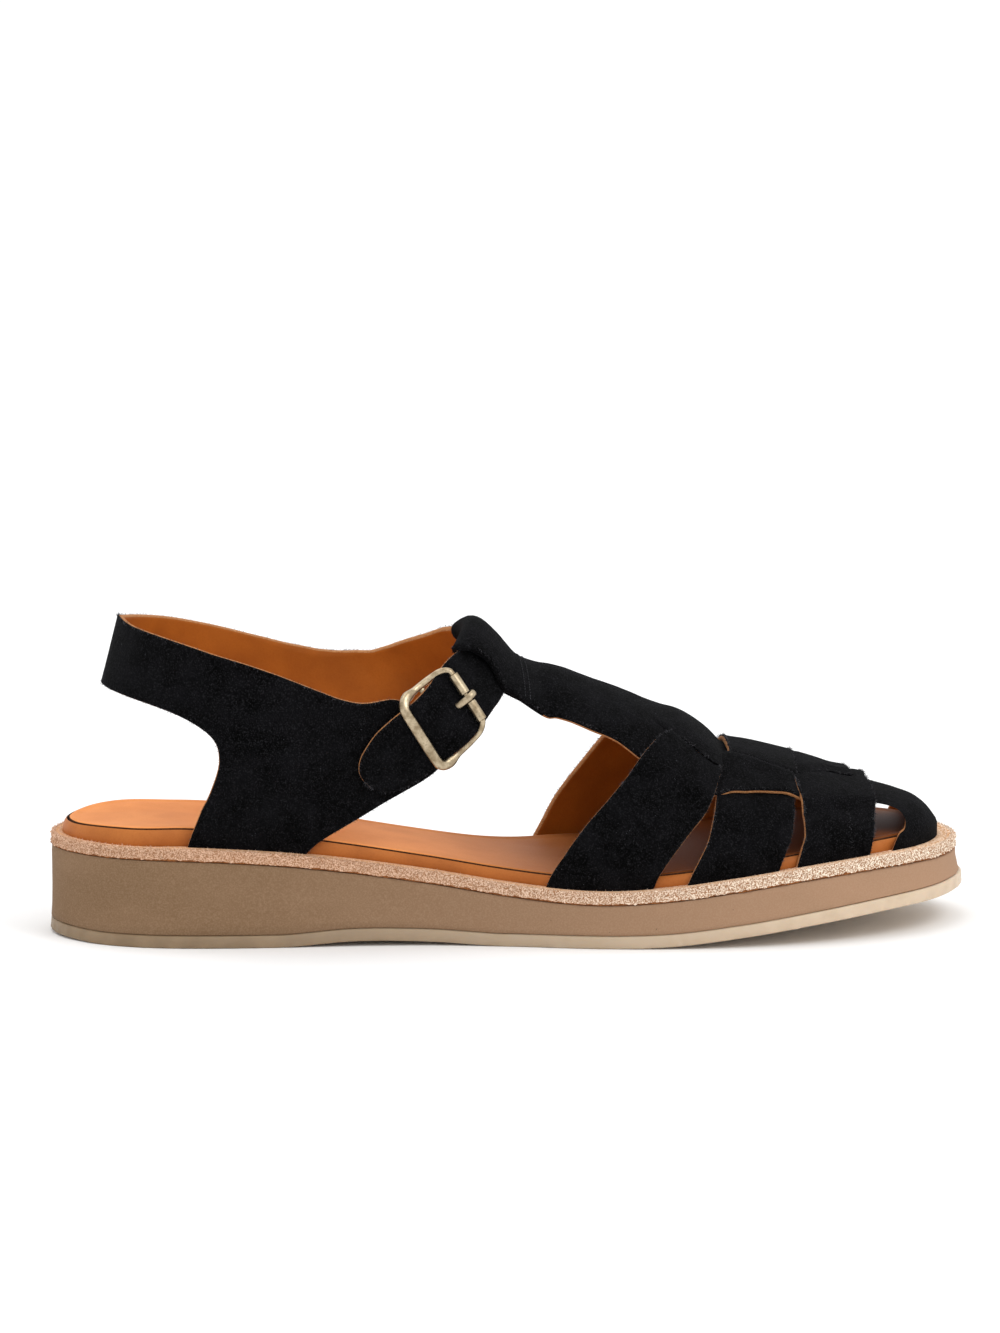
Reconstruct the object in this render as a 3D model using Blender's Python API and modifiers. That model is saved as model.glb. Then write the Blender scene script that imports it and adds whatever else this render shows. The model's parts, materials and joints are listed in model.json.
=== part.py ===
# Right fisherman sandal: woven closed-toe upper, heel and ankle straps, centre-bar buckle, wedge sole.
# Metres. The toe points along +X, the outer side of the foot faces -Y, and the sole rests on Z = 0.

import bmesh
import bpy
import numpy as np
from math import cos, pi, radians, sin

MM = 0.001

# Driving dimensions
LENGTH = 270 * MM
BALL_WIDTH = 97 * MM
OUTSOLE_THICKNESS = 3.8 * MM
WELT_THICKNESS = 3.7 * MM
HEEL_HEIGHT = 29.9 * MM  # floor to the top of the welt at the heel
TOE_FLARE = 1.8 * MM  # how far the sole's edge leans outwards at the toe
FOOTBED_RISE = 4.9 * MM  # footbed above the welt at the heel
SOCK_THICKNESS = 1.0 * MM
WALL = 2.0 * MM  # lined leather of every strap
FOLD_WALL = 1.2 * MM  # thinned leather where the centre strap's loop passes under the ankle strap
LIFT = 1.4 * MM  # how far a strip that passes over another is raised
LOOP_LIFT = 1.5 * MM  # ankle strap off the foot inside the centre strap's loop
GAP = 0.3 * MM  # clearance between pieces that meet
WELT_LEDGE = 5.2 * MM  # welt showing outside the straps
SEAM_INSET = 1.8 * MM  # sock's edge from the footbed's edge
HEEL_REACH = 4.2 * MM  # how much nearer to the sole's edge the footbed comes behind the legs
INSTEP_HEIGHT = 82.1 * MM  # inside of the ankle strap's loop above the floor
INSTEP_X = -7.9 * MM
STRAP_WIDTH = 18.6 * MM
ANKLE_HALF_WIDTH = 32 * MM
ANKLE_DROP = 30 * MM  # depth below the instep at which the ankle's sides stand upright
STAND = 6 * MM  # upright foot of every strap beside the footbed
ANKLE_TILT = radians(49.5)  # slope of the ankle strap's plane
BUCKLE_LENGTH = 24.4 * MM
BUCKLE_WIDTH = 16.4 * MM
BUCKLE_TAPER = 0.05  # how much longer the rear bar is than the middle, as a share
WIRE = 2.2 * MM
BUCKLE_SKEW = radians(13)
BUCKLE_DOWN = 21.5 * MM  # its middle, measured down the ankle strap
BAR_LIFT = 3.4 * MM  # centre bar off the inside of the leather
FRAME_LIFT = 7.1 * MM

HALF_BALL = BALL_WIDTH / 2
DENSE = 1440  # points round the sole from which every ring is picked
GROOVE_OUTER = WELT_LEDGE - GAP / 2
LAST_INSET = WELT_LEDGE + GAP + WALL  # inner face of the straps at their feet
FOOTBED_INSET = LAST_INSET + GAP

# Plan of the sole: share of LENGTH from the heel, outer and inner half-widths as shares of HALF_BALL
PLAN = (
    (0.000, 0.000, 0.000),
    (0.015, 0.295, 0.290),
    (0.050, 0.515, 0.505),
    (0.100, 0.650, 0.640),
    (0.160, 0.705, 0.692),
    (0.240, 0.718, 0.682),
    (0.340, 0.715, 0.640),
    (0.420, 0.740, 0.622),
    (0.500, 0.826, 0.680),
    (0.570, 0.930, 0.800),
    (0.640, 0.990, 0.910),
    (0.710, 1.008, 0.982),
    (0.780, 0.980, 0.998),
    (0.850, 0.876, 0.960),
    (0.910, 0.712, 0.858),
    (0.960, 0.480, 0.672),
    (0.990, 0.185, 0.410),
    (1.000, -0.105, 0.105),
)

# Side view of the sole: share of LENGTH, underside and welt top as shares of HEEL_HEIGHT
SIDE = (
    (0.00, 0.020, 1.000),
    (0.05, 0.000, 0.998),
    (0.16, 0.000, 0.982),
    (0.24, 0.000, 0.934),
    (0.32, 0.050, 0.850),
    (0.40, 0.040, 0.746),
    (0.48, 0.000, 0.632),
    (0.54, 0.000, 0.572),
    (0.60, 0.000, 0.556),
    (0.66, 0.020, 0.592),
    (0.74, 0.100, 0.682),
    (0.82, 0.195, 0.768),
    (0.90, 0.275, 0.815),
    (1.00, 0.330, 0.815),
)

# Ridge of the foot's front: share of LENGTH, height as a share of INSTEP_HEIGHT, inner offset over HALF_BALL
RIDGE = (
    (0.485, 0.958, 0.02),
    (0.505, 0.934, 0.04),
    (0.523, 0.924, 0.06),
    (0.553, 0.905, 0.07),
    (0.587, 0.861, 0.08),
    (0.645, 0.782, 0.10),
    (0.689, 0.700, 0.11),
    (0.733, 0.608, 0.12),
    (0.770, 0.580, 0.13),
    (0.809, 0.545, 0.13),
    (0.840, 0.512, 0.13),
    (0.871, 0.475, 0.13),
    (0.900, 0.450, 0.12),
    (0.930, 0.422, 0.12),
    (0.948, 0.398, 0.12),
    (0.959, 0.368, 0.11),
    (0.966, 0.334, 0.11),
)


def curve_through(rows, column, at):
    """Smooth curve through a table's first column and the given one."""
    xs = np.array([row[0] for row in rows])
    vs = np.array([row[column] for row in rows])
    steps = np.diff(xs)
    slopes = np.diff(vs) / steps
    tangents = np.concatenate(
        [
            slopes[:1],
            (slopes[:-1] * steps[1:] + slopes[1:] * steps[:-1]) / (steps[:-1] + steps[1:]),
            slopes[-1:],
        ]
    )
    at = np.clip(np.asarray(at, float), xs[0], xs[-1])
    i = np.clip(np.searchsorted(xs, at, side="right") - 1, 0, len(steps) - 1)
    h = steps[i]
    u = (at - xs[i]) / h
    return (
        vs[i] * (1 + 2 * u) * (1 - u) ** 2
        + tangents[i] * h * u * (1 - u) ** 2
        + vs[i + 1] * u**2 * (3 - 2 * u)
        + tangents[i + 1] * h * u**2 * (u - 1)
    )


def soft_step(value, low, high):
    u = np.clip((np.asarray(value, float) - low) / (high - low), 0, 1)
    return u * u * (3 - 2 * u)


def share_at(x):
    return x / LENGTH + 0.5


def x_at(share):
    return (share - 0.5) * LENGTH


# The plan's half-widths run over an angle from heel to toe, which keeps both ends round.
PLAN_ANGLES = tuple((np.arccos(1 - 2 * row[0]), row[1], row[2]) for row in PLAN)


def outline(count, inset=0.0):
    """Points round the sole: the outer side from heel to toe, then the inner side back. Inset may vary."""
    angles = np.linspace(0, 2 * pi, DENSE, endpoint=False)
    outer = angles <= pi
    folded = np.where(outer, angles, 2 * pi - angles)
    x = x_at((1 - np.cos(folded)) / 2)
    y = np.where(
        outer,
        -curve_through(PLAN_ANGLES, 1, folded),
        curve_through(PLAN_ANGLES, 2, folded),
    )
    y = y * HALF_BALL
    dx = np.roll(x, -2) - np.roll(x, 2)
    dy = np.roll(y, -2) - np.roll(y, 2)
    size = np.hypot(dx, dy)
    pick = np.arange(count) * DENSE // count
    points = np.stack([x - dy / size * inset, y + dx / size * inset], 1)
    return points[pick]


def flare_inset(share):
    """Inset of everything above the outsole, where its edge leans outwards at the toe."""
    return TOE_FLARE * soft_step(share, 0.70, 0.98)


def outline_shares(count):
    angles = np.arange(count) * 2 * pi / count
    folded = np.where(angles <= pi, angles, 2 * pi - angles)
    return (1 - np.cos(folded)) / 2


def half_widths(inset):
    """Outer and inner half-widths against x at an inset from the sole's edge, as two tables."""
    count = DENSE // 2
    shares = outline_shares(DENSE)
    points = outline(DENSE, inset + flare_inset(shares))
    outer = points[: count + 1]
    inner = np.roll(points, -count, axis=0)[: count + 1][::-1]
    return outer, inner


def width_at(table, x):
    order = np.argsort(table[:, 0])
    return np.abs(np.interp(x, table[order, 0], table[order, 1]))


def floor_side(x):
    return np.maximum(curve_through(SIDE, 1, share_at(x)), 0) * HEEL_HEIGHT


def welt_top(x):
    return curve_through(SIDE, 2, share_at(x)) * HEEL_HEIGHT


def midsole_top(x):
    return welt_top(x) - WELT_THICKNESS


def outsole_top(x):
    return floor_side(x) + OUTSOLE_THICKNESS


def footbed_top(x, y):
    """Top of the sock: it stands highest at the heel and swells softly beside the arch."""
    share = share_at(x)
    rise = FOOTBED_RISE * (1 - 0.33 * soft_step(share, 0.12, 0.42))
    swell = 1.6 * MM * np.exp(-(((share - 0.56) / 0.06) ** 2)) * soft_step(y, 0.25 * HALF_BALL, 0.7 * HALF_BALL)
    hollow = 1 - soft_step(np.abs(y), 0.12 * HALF_BALL, 0.5 * HALF_BALL)
    dish = 0.8 * MM * hollow * (1 - soft_step(share, 0.2, 0.4))
    return welt_top(x) + rise + swell - dish


def footbed_inset():
    """Inset of the footbed's side at each dense point of the outline."""
    return FOOTBED_INSET - HEEL_REACH * (1 - soft_step(outline_shares(DENSE), 0.065, 0.14))


LAST_OUTER, LAST_INNER = half_widths(LAST_INSET)
FULLNESS_ACROSS = 2.25
FULLNESS_UP = 2.10


def arch(share, angle):
    """Point on the inside of the front upper. The angle runs from -90 at the outer foot to 90 at the inner one."""
    share, angle = np.broadcast_arrays(np.asarray(share, float), np.radians(angle))
    x = x_at(share)
    ridge_y = curve_through(RIDGE, 2, share) * HALF_BALL
    ridge_z = curve_through(RIDGE, 1, share) * INSTEP_HEIGHT
    foot_z = midsole_top(x) + GAP
    outer = width_at(LAST_OUTER, x) + ridge_y
    inner = width_at(LAST_INNER, x) - ridge_y
    across = np.abs(np.sin(angle)) ** (2 / FULLNESS_ACROSS)
    up = np.abs(np.cos(angle)) ** (2 / FULLNESS_UP)
    y = ridge_y + np.where(angle < 0, -outer, inner) * across
    stand = STAND * np.clip((radians(90) - np.abs(angle)) / radians(6), 0, 1)
    return np.stack([x, y, foot_z + stand + (ridge_z - foot_z - STAND) * up], -1)


def dome(x, y):
    """Height of the same inside surface above a point of the plan."""
    share = share_at(x)
    ridge_y = curve_through(RIDGE, 2, share) * HALF_BALL
    ridge_z = curve_through(RIDGE, 1, share) * INSTEP_HEIGHT
    foot_z = midsole_top(x) + GAP
    outer = width_at(LAST_OUTER, x) + ridge_y
    inner = width_at(LAST_INNER, x) - ridge_y
    across = np.clip(np.where(y < ridge_y, (ridge_y - y) / outer, (y - ridge_y) / inner), 0, 1)
    up = (1 - across**FULLNESS_ACROSS) ** (1 / FULLNESS_UP)
    return foot_z + STAND + (ridge_z - foot_z - STAND) * up


# Ankle: coordinates (along, down) in the side view, measured from the ridge under the ankle strap
ALONG = np.array([sin(ANKLE_TILT), -cos(ANKLE_TILT)])
DOWN = np.array([-cos(ANKLE_TILT), -sin(ANKLE_TILT)])
HEEL_LEAN = 0.25
HEEL_BACK = 6.0 * MM
HEEL_RADIUS = 34 * MM


def ankle_depth(x, z):
    return (x - INSTEP_X) * DOWN[0] + (z - INSTEP_HEIGHT) * DOWN[1]


def wall_width(x, z, side):
    """Half-width of the inside of the legs and bands: it follows the footbed below and the ankle above."""
    table = LAST_OUTER if side < 0 else LAST_INNER
    foot = width_at(table, x)
    blend = soft_step(z, 0.8 * HEEL_HEIGHT, 0.9 * INSTEP_HEIGHT)
    width = foot + (ANKLE_HALF_WIDTH - foot) * blend
    depth = np.clip(ankle_depth(x, z) / ANKLE_DROP, 0, 1)
    return width * np.sqrt(np.clip(1 - (1 - depth) ** 2, 0, 1))


def heel_back(z):
    return x_at(0) + HEEL_BACK + HEEL_LEAN * (z - HEEL_HEIGHT)


def ankle_point(turn, along, side, lift):
    """Point over the instep: the turn is 0 on the ridge and 90 where the ankle's side stands upright."""
    turn, along, lift = np.broadcast_arrays(turn, along, lift)

    def inside(angle, reach):
        bent = np.radians(np.minimum(angle, 90))
        down = ANKLE_DROP * (1 - np.cos(bent) + np.radians(np.maximum(angle - 90, 0)))
        x = INSTEP_X + reach * ALONG[0] + down * DOWN[0]
        z = INSTEP_HEIGHT + reach * ALONG[1] + down * DOWN[1]
        return np.stack([x, side * wall_width(x, z, side), z], -1)

    step = 0.5
    across = inside(turn + step, along) - inside(np.maximum(turn - step, 0), along)
    forward = inside(turn, along + step * MM) - inside(turn, along - step * MM)
    normal = np.cross(forward, across) * side
    normal /= np.linalg.norm(normal, axis=-1, keepdims=True)
    return inside(turn, along) + normal * lift[..., None]


def heel_point(turn, z, side):
    """Point on the inside of the heel strap, bands and legs. The turn is 0 at the back and 90 at the side."""
    bent = np.radians(np.minimum(turn, 90))
    straight = np.radians(np.maximum(turn - 90, 0))
    x = heel_back(z) + HEEL_RADIUS * (1 - np.cos(bent) + straight)
    z = np.maximum(z, midsole_top(x) + GAP)
    return np.stack([x, side * wall_width(x, z, side) * np.sin(bent), z], -1)


# Legs: side, then first and last share of LENGTH that they take at the sole
LEGS = (
    (-1, 0.141, 0.261),
    (-1, 0.528, 0.642),
    (-1, 0.678, 0.780),
    (-1, 0.799, 0.881),
    (-1, 0.903, 1.000),
    (1, 0.176, 0.266),
    (1, 0.528, 0.632),
    (1, 0.675, 0.777),
    (1, 0.803, 0.885),
    (1, 0.903, 1.000),
)

# Quarter, from the buckle round to the heel: lower turn and height, upper turn and height.
# Turns are degrees round the heel, and heights are shares of INSTEP_HEIGHT.
OUTER_BAND = (
    (202, 0.747, 180, 0.857),
    (200, 0.635, 170, 0.887),
    (179, 0.521, 158, 0.878),
    (165, 0.447, 150, 0.880),
    (151, 0.375, 140, 0.900),
    (141, 0.300, 131, 0.924),
    (126, 0.300, 123, 0.946),
    (108, 0.300, 116, 0.965),
    (89, 0.300, 110, 0.980),
    (89, 0.467, 106, 0.990),
    (91, 0.546, 102, 1.000),
    (92, 0.630, 98, 1.010),
    (91, 0.688, 94, 1.019),
    (87, 0.748, 86, 1.037),
    (79, 0.797, 76, 1.057),
    (66, 0.842, 61, 1.086),
    (50, 0.872, 43, 1.110),
    (28, 0.892, 22, 1.125),
    (0, 0.897, 0, 1.134),
)
INNER_BAND = (
    (28, 0.886, 22, 1.112),
    (51, 0.866, 43, 1.091),
    (66, 0.838, 60, 1.071),
    (82, 0.808, 76, 1.046),
    (95, 0.765, 90, 1.023),
    (104, 0.715, 100, 1.004),
    (107, 0.650, 107, 0.992),
    (107, 0.560, 111, 0.985),
    (105, 0.460, 114, 0.979),
    (103, 0.300, 117, 0.974),
    (114, 0.300, 122, 0.965),
    (128, 0.300, 128, 0.955),
    (141, 0.300, 134, 0.946),
    (151, 0.375, 141, 0.936),
    (165, 0.447, 148, 0.930),
    (179, 0.521, 154, 0.928),
    (200, 0.635, 160, 0.928),
)
# Ankle strap from the inner side over the instep to the tip: side, turn, rear and front edge as shares
# of STRAP_WIDTH from its middle, lift in millimetres
ANKLE_STRAP = (
    (1, 78, -1.00, 0.42, 0.0),
    (1, 70, -0.86, 0.44, 0.0),
    (1, 60, -0.73, 0.47, 0.0),
    (1, 48, -0.60, 0.50, 0.4),
    (1, 37, -0.51, 0.50, 1.4),
    (1, 26, -0.50, 0.50, 1.5),
    (1, 13, -0.50, 0.50, 1.5),
    (1, 0, -0.50, 0.50, 1.5),
    (-1, 13, -0.50, 0.50, 1.5),
    (-1, 26, -0.50, 0.50, 1.5),
    (-1, 36, -0.50, 0.50, 1.5),
    (-1, 41, -0.50, 0.50, 1.6),
    (-1, 47, -0.50, 0.49, 2.0),
    (-1, 53, -0.51, 0.47, 2.7),
    (-1, 59, -0.53, 0.40, 3.3),
    (-1, 65, -0.56, 0.36, 4.4),
    (-1, 70, -0.59, 0.35, 4.8),
    (-1, 76, -0.62, 0.36, 4.8),
    (-1, 81, -0.65, 0.34, 4.2),
    (-1, 87, -0.69, 0.31, 3.2),
    (-1, 94, -0.72, 0.29, 2.7),
    (-1, 102, -0.74, 0.26, 2.5),
    (-1, 110, -0.72, 0.20, 2.5),
    (-1, 117, -0.68, 0.11, 2.5),
    (-1, 122, -0.60, 0.00, 2.5),
    (-1, 125, -0.50, -0.12, 2.5),
    (-1, 126, -0.40, -0.22, 2.5),
)

# Cross straps: angle round the arch, rear and front share of LENGTH, then rear and front lift over LIFT
REAR_STRAP = (
    (-90, 0.528, 0.640, 0, 0),
    (-87, 0.537, 0.648, 0, 0),
    (-76, 0.569, 0.677, 0, 0),
    (-63, 0.601, 0.700, 0.1, 0.1),
    (-53, 0.622, 0.709, 0.9, 0.9),
    (-46, 0.634, 0.713, 1, 1),
    (-35, 0.651, 0.719, 1, 1),
    (-25, 0.667, 0.721, 0.9, 0.9),
    (-15, 0.673, 0.721, 0.1, 0.1),
    (0, 0.672, 0.718, 0, 0),
    (20, 0.660, 0.714, 0, 0),
    (42, 0.632, 0.706, 0, 0),
    (63, 0.597, 0.687, 0, 0),
    (79, 0.562, 0.660, 0, 0),
    (90, 0.528, 0.632, 0, 0),
)
MIDDLE_STRAP = (
    (-90, 0.678, 0.776, 0, 0),
    (-87, 0.687, 0.782, 0, 0),
    (-78, 0.704, 0.793, 0, 0),
    (-62, 0.713, 0.799, 0, 0),
    (-45, 0.719, 0.802, 0, 0),
    (-30, 0.728, 0.806, 0.2, 0.2),
    (-18, 0.736, 0.808, 0.8, 1.0),
    (0, 0.738, 0.810, 1, 1.4),
    (14, 0.739, 0.811, 1, 1.4),
    (33, 0.737, 0.812, 1, 1.2),
    (53, 0.726, 0.808, 0.2, 0.3),
    (70, 0.710, 0.799, 0, 0),
    (83, 0.692, 0.787, 0, 0),
    (90, 0.675, 0.777, 0, 0),
)
FRONT_STRAP = (
    (-90, 0.799, 0.880, 0, 0),
    (-86, 0.805, 0.884, 0, 0),
    (-77, 0.812, 0.888, 0, 0.2),
    (-66, 0.813, 0.889, 0.6, 1),
    (-53, 0.811, 0.890, 1, 1),
    (-39, 0.806, 0.892, 1, 1),
    (-26, 0.805, 0.892, 0.8, 1),
    (-14, 0.805, 0.892, 0.1, 1),
    (0, 0.806, 0.890, 0, 1),
    (20, 0.812, 0.891, 0, 1),
    (38, 0.818, 0.893, 0, 1),
    (53, 0.820, 0.893, 0, 0.8),
    (69, 0.819, 0.893, 0, 0.1),
    (83, 0.812, 0.890, 0, 0),
    (90, 0.803, 0.885, 0, 0),
)
# Centre strap: share of LENGTH, angles of the outer edge, the slit and the inner edge, then the lifts of
# its outer and inner halves over LIFT
CENTRE_STRAP = (
    (0.512, -33, -3, 33, 0, 0),
    (0.540, -35, -4, 35, 0, 0),
    (0.580, -37, -6, 37, 0, 0),
    (0.612, -39, -9, 38, 0, 0),
    (0.635, -44, -14, 39, 0, 0),
    (0.655, -47, -19, 39, 0, 0.1),
    (0.668, -48, -23, 39, 0, 0.6),
    (0.680, -49, -26, 39, 0, 1),
    (0.700, -50, -30, 38, 0, 1),
    (0.716, -49, -31, 37, 0.2, 0.8),
    (0.732, -46, -24, 36, 0.9, 0.2),
    (0.750, -45, -19, 35, 1, 0),
    (0.775, -44, -20, 35, 1, 0.2),
    (0.796, -45, -25, 34, 1, 0.5),
    (0.808, -46, -27, 33, 0.6, 0.7),
    (0.822, -45, -20, 32, 0.1, 1.0),
    (0.845, -42, -12, 31, 0, 1.05),
    (0.858, -40, -10, 30, 0, 1.35),
    (0.871, -38, -7, 30, 0, 1.9),
)
TOE_PIECE_START = 0.862
# Opening beside the toe piece: share of LENGTH and angle round the arch along the toe piece's edge
TOE_OPENING = (
    (0.890, -13),
    (0.911, -16),
    (0.923, -29),
    (0.928, -49),
    (0.927, -70),
    (0.919, -84),
    (0.908, -90),
)

DARK_SUEDE = (0.012, 0.012, 0.014)
COLOURS = {
    "outsole": ((0.60, 0.47, 0.29), 0.55, 0),
    "midsole": ((0.42, 0.30, 0.20), 0.85, 0),
    "welt": ((0.62, 0.43, 0.28), 0.9, 0),
    "footbed": ((0.50, 0.20, 0.07), 0.5, 0),
    "sock": ((0.62, 0.28, 0.11), 0.5, 0),
    "upper": (DARK_SUEDE, 0.95, 0),
    "quarter": (DARK_SUEDE, 0.95, 0),
    "buckle_frame": ((0.42, 0.35, 0.24), 0.35, 1),
    "buckle_prong": ((0.42, 0.35, 0.24), 0.35, 1),
}


def start_scene():
    for thing in list(bpy.data.objects):
        bpy.data.objects.remove(thing)
    made = []
    for name, helper in (("fisherman_sandal", False), ("cutters", True)):
        collection = bpy.data.collections.new(name)
        bpy.context.scene.collection.children.link(collection)
        collection.hide_render = helper
        made.append(collection)
    return made


SANDAL, CUTTERS = start_scene()


def material(name):
    colour, roughness, metallic = COLOURS[name]
    look = bpy.data.materials.new(name)
    look.use_nodes = True
    shader = look.node_tree.nodes["Principled BSDF"]
    shader.inputs["Base Color"].default_value = (*colour, 1)
    shader.inputs["Roughness"].default_value = roughness
    shader.inputs["Metallic"].default_value = metallic
    return look


def new_piece(name, points, faces, helper=False):
    mesh = bpy.data.meshes.new(name)
    mesh.from_pydata([tuple(map(float, p)) for p in points], [], [tuple(map(int, f)) for f in faces])
    shape = bmesh.new()
    shape.from_mesh(mesh)
    loose = [vert for vert in shape.verts if not vert.link_faces]
    bmesh.ops.delete(shape, geom=loose, context="VERTS")
    shape.to_mesh(mesh)
    shape.free()
    piece = bpy.data.objects.new(name, mesh)
    (CUTTERS if helper else SANDAL).objects.link(piece)
    if helper:
        piece.hide_render = True
        piece.display_type = "WIRE"
    else:
        mesh.materials.append(material(name))
    return piece


def face_outwards(piece):
    shape = bmesh.new()
    shape.from_mesh(piece.data)
    bmesh.ops.recalc_face_normals(shape, faces=shape.faces)
    shape.to_mesh(piece.data)
    shape.free()


def smooth(piece, degrees=35):
    piece.data.shade_smooth()
    piece.data.set_sharp_from_angle(angle=radians(degrees))


def ringed(name, rings, closed=False, capped=True, helper=False):
    """Solid through rings of points. Each end is filled across from one side of the ring to the other."""
    rings = np.asarray(rings)
    rows, count = rings.shape[:2]
    faces = []
    for row in range(rows if closed else rows - 1):
        here, there = row * count, (row + 1) % rows * count
        for i in range(count):
            j = (i + 1) % count
            faces.append((here + i, here + j, there + j, there + i))
    for row in (0, rows - 1) if capped and not closed else ():
        base = row * count
        for i in range(count // 2):
            corners = [base + i, base + i + 1, base + (count - i - 1) % count, base + (count - i) % count]
            faces.append(tuple(dict.fromkeys(corners)))
    piece = new_piece(name, rings.reshape(-1, 3), faces, helper)
    face_outwards(piece)
    return piece


def outward_normals(grid):
    """Normals of a grid of points, turned away from the middle of the foot."""
    normal = np.cross(np.gradient(grid, axis=0), np.gradient(grid, axis=1))
    normal /= np.linalg.norm(normal, axis=-1, keepdims=True)
    from_foot = grid * (0, 1, 1)
    turned = np.sum(normal * from_foot) > 0
    return normal if turned else -normal, turned


def sheet(name, grid, helper=False):
    """Open surface through a grid of points, its faces turned away from the foot, with the wall outside it."""
    grid = np.asarray(grid)
    turned = outward_normals(grid)[1]
    rows, columns = grid.shape[:2]
    faces = []
    for row in range(rows - 1):
        for column in range(columns - 1):
            first = row * columns + column
            corners = (first, first + columns, first + columns + 1, first + 1)
            faces.append(corners if turned else corners[::-1])
    piece = new_piece(name, grid.reshape(-1, 3), faces, helper)
    wall = piece.modifiers.new("wall", "SOLIDIFY")
    wall.thickness = WALL
    wall.offset = 1
    wall.use_even_offset = False
    return piece


def lifted(grid, lift):
    """The grid moved off the foot by the lift, along its own normals."""
    return grid + outward_normals(grid)[0] * np.asarray(lift)[..., None]


def boolean(piece, other, operation):
    step = piece.modifiers.new(f"{operation.lower()} {other.name}", "BOOLEAN")
    step.operation = operation
    step.object = other
    step.solver = "EXACT"


def sole_ring(count, inset, height, flared=True, toward=0.0):
    """One ring round the sole at an inset, optionally drawn in towards the middle line."""
    shares = outline_shares(DENSE)
    extra = flare_inset(shares) if flared else 0
    ring = outline(count, np.broadcast_to(inset + extra, (DENSE,)))
    middle = np.stack([np.clip(ring[:, 0], x_at(0.14), x_at(0.86)), 0 * ring[:, 0]], 1)
    middle[:, 1] = 6 * MM * soft_step(share_at(middle[:, 0]), 0.5, 0.85)
    ring = ring + (middle - ring) * toward
    z = height(ring[:, 0], ring[:, 1])
    return np.column_stack([ring, z])


SOLE_POINTS = 72


def make_sole():
    n = SOLE_POINTS
    edge = 0.6 * MM

    def floor(x, y):
        return floor_side(x)

    def tread_top(x, y):
        return outsole_top(x) - GAP / 2

    def wedge_floor(x, y):
        return outsole_top(x) + GAP / 2

    def wedge_top(x, y):
        return midsole_top(x)

    outsole = ringed(
        "outsole",
        [
            sole_ring(n, 1.6 * MM, floor, False, 0.45),
            sole_ring(n, edge, floor, False),
            sole_ring(n, 0, lambda x, y: floor(x, y) + edge, False),
            sole_ring(n, 0.2 * MM, tread_top, False),
            sole_ring(n, 1.6 * MM, tread_top, False, 0.45),
        ],
    )
    midsole = ringed(
        "midsole",
        [
            sole_ring(n, 1.6 * MM, wedge_floor, True, 0.45),
            sole_ring(n, -0.6 * flare_inset(outline_shares(DENSE)), wedge_floor),
            sole_ring(n, 0.2 * MM, lambda x, y: (wedge_floor(x, y) + wedge_top(x, y)) / 2),
            sole_ring(n, 0.3 * MM, wedge_top),
            sole_ring(n, 10 * MM, wedge_top),
            sole_ring(n, 10 * MM, wedge_top, True, 0.5),
        ],
    )
    for piece in (outsole, midsole):
        smooth(piece)


def welt_inner_inset():
    """The welt reaches the footbed, and stands back where a leg comes down beside it."""
    feet = outline(DENSE, LAST_INSET + flare_inset(outline_shares(DENSE)))
    shares = share_at(feet[:, 0])
    outer = np.arange(DENSE) <= DENSE // 2
    inset = footbed_inset() - GAP
    margin = 5.2 * MM / LENGTH
    for side, first, last in LEGS:
        taken = (shares > first - margin) & (shares < last + margin) & (outer == (side < 0))
        inset[taken] = GROOVE_OUTER
    return inset


def make_welt():
    count = 150
    inner_inset = welt_inner_inset()
    rim = 0.5 * MM

    def low(x, y):
        return midsole_top(x) + GAP

    def high(x, y):
        return welt_top(x)

    rings = [
        sole_ring(count, 0.3 * MM, low),
        sole_ring(count, 0, lambda x, y: (low(x, y) + high(x, y)) / 2),
        sole_ring(count, 0.3 * MM, lambda x, y: high(x, y) - rim),
        sole_ring(count, 0.9 * MM, high),
        sole_ring(count, inner_inset - 0.3 * MM, high),
        sole_ring(count, inner_inset, lambda x, y: high(x, y) - rim),
        sole_ring(count, inner_inset, low),
    ]
    smooth(ringed("welt", rings, closed=True))


def make_footbed():
    n = SOLE_POINTS
    crown = 1.2 * MM
    side = footbed_inset()

    def low(x, y):
        return midsole_top(x) + GAP

    def top(x, y):
        return footbed_top(x, y) - SOCK_THICKNESS - GAP

    footbed = ringed(
        "footbed",
        [
            sole_ring(n, side + 8 * MM, low, True, 0.4),
            sole_ring(n, side, low),
            sole_ring(n, side, lambda x, y: top(x, y) - crown),
            sole_ring(n, side + 0.5 * MM, lambda x, y: top(x, y) - 0.3 * crown),
            sole_ring(n, side + SEAM_INSET, top),
            sole_ring(n, side + SEAM_INSET + 6 * MM, top),
            sole_ring(n, side + SEAM_INSET + 6 * MM, top, True, 0.5),
        ],
    )
    inset = side + SEAM_INSET
    sock = ringed(
        "sock",
        [
            sole_ring(n, inset + 6 * MM, lambda x, y: top(x, y) + GAP, True, 0.5),
            sole_ring(n, inset + 6 * MM, lambda x, y: top(x, y) + GAP),
            sole_ring(n, inset, lambda x, y: top(x, y) + GAP),
            sole_ring(n, inset, lambda x, y: footbed_top(x, y) - 0.3 * MM),
            sole_ring(n, inset + 0.5 * MM, footbed_top),
            sole_ring(n, inset + 6 * MM, footbed_top),
            sole_ring(n, inset + 6 * MM, footbed_top, True, 0.5),
        ],
    )
    for piece in (footbed, sock):
        smooth(piece)


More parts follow.
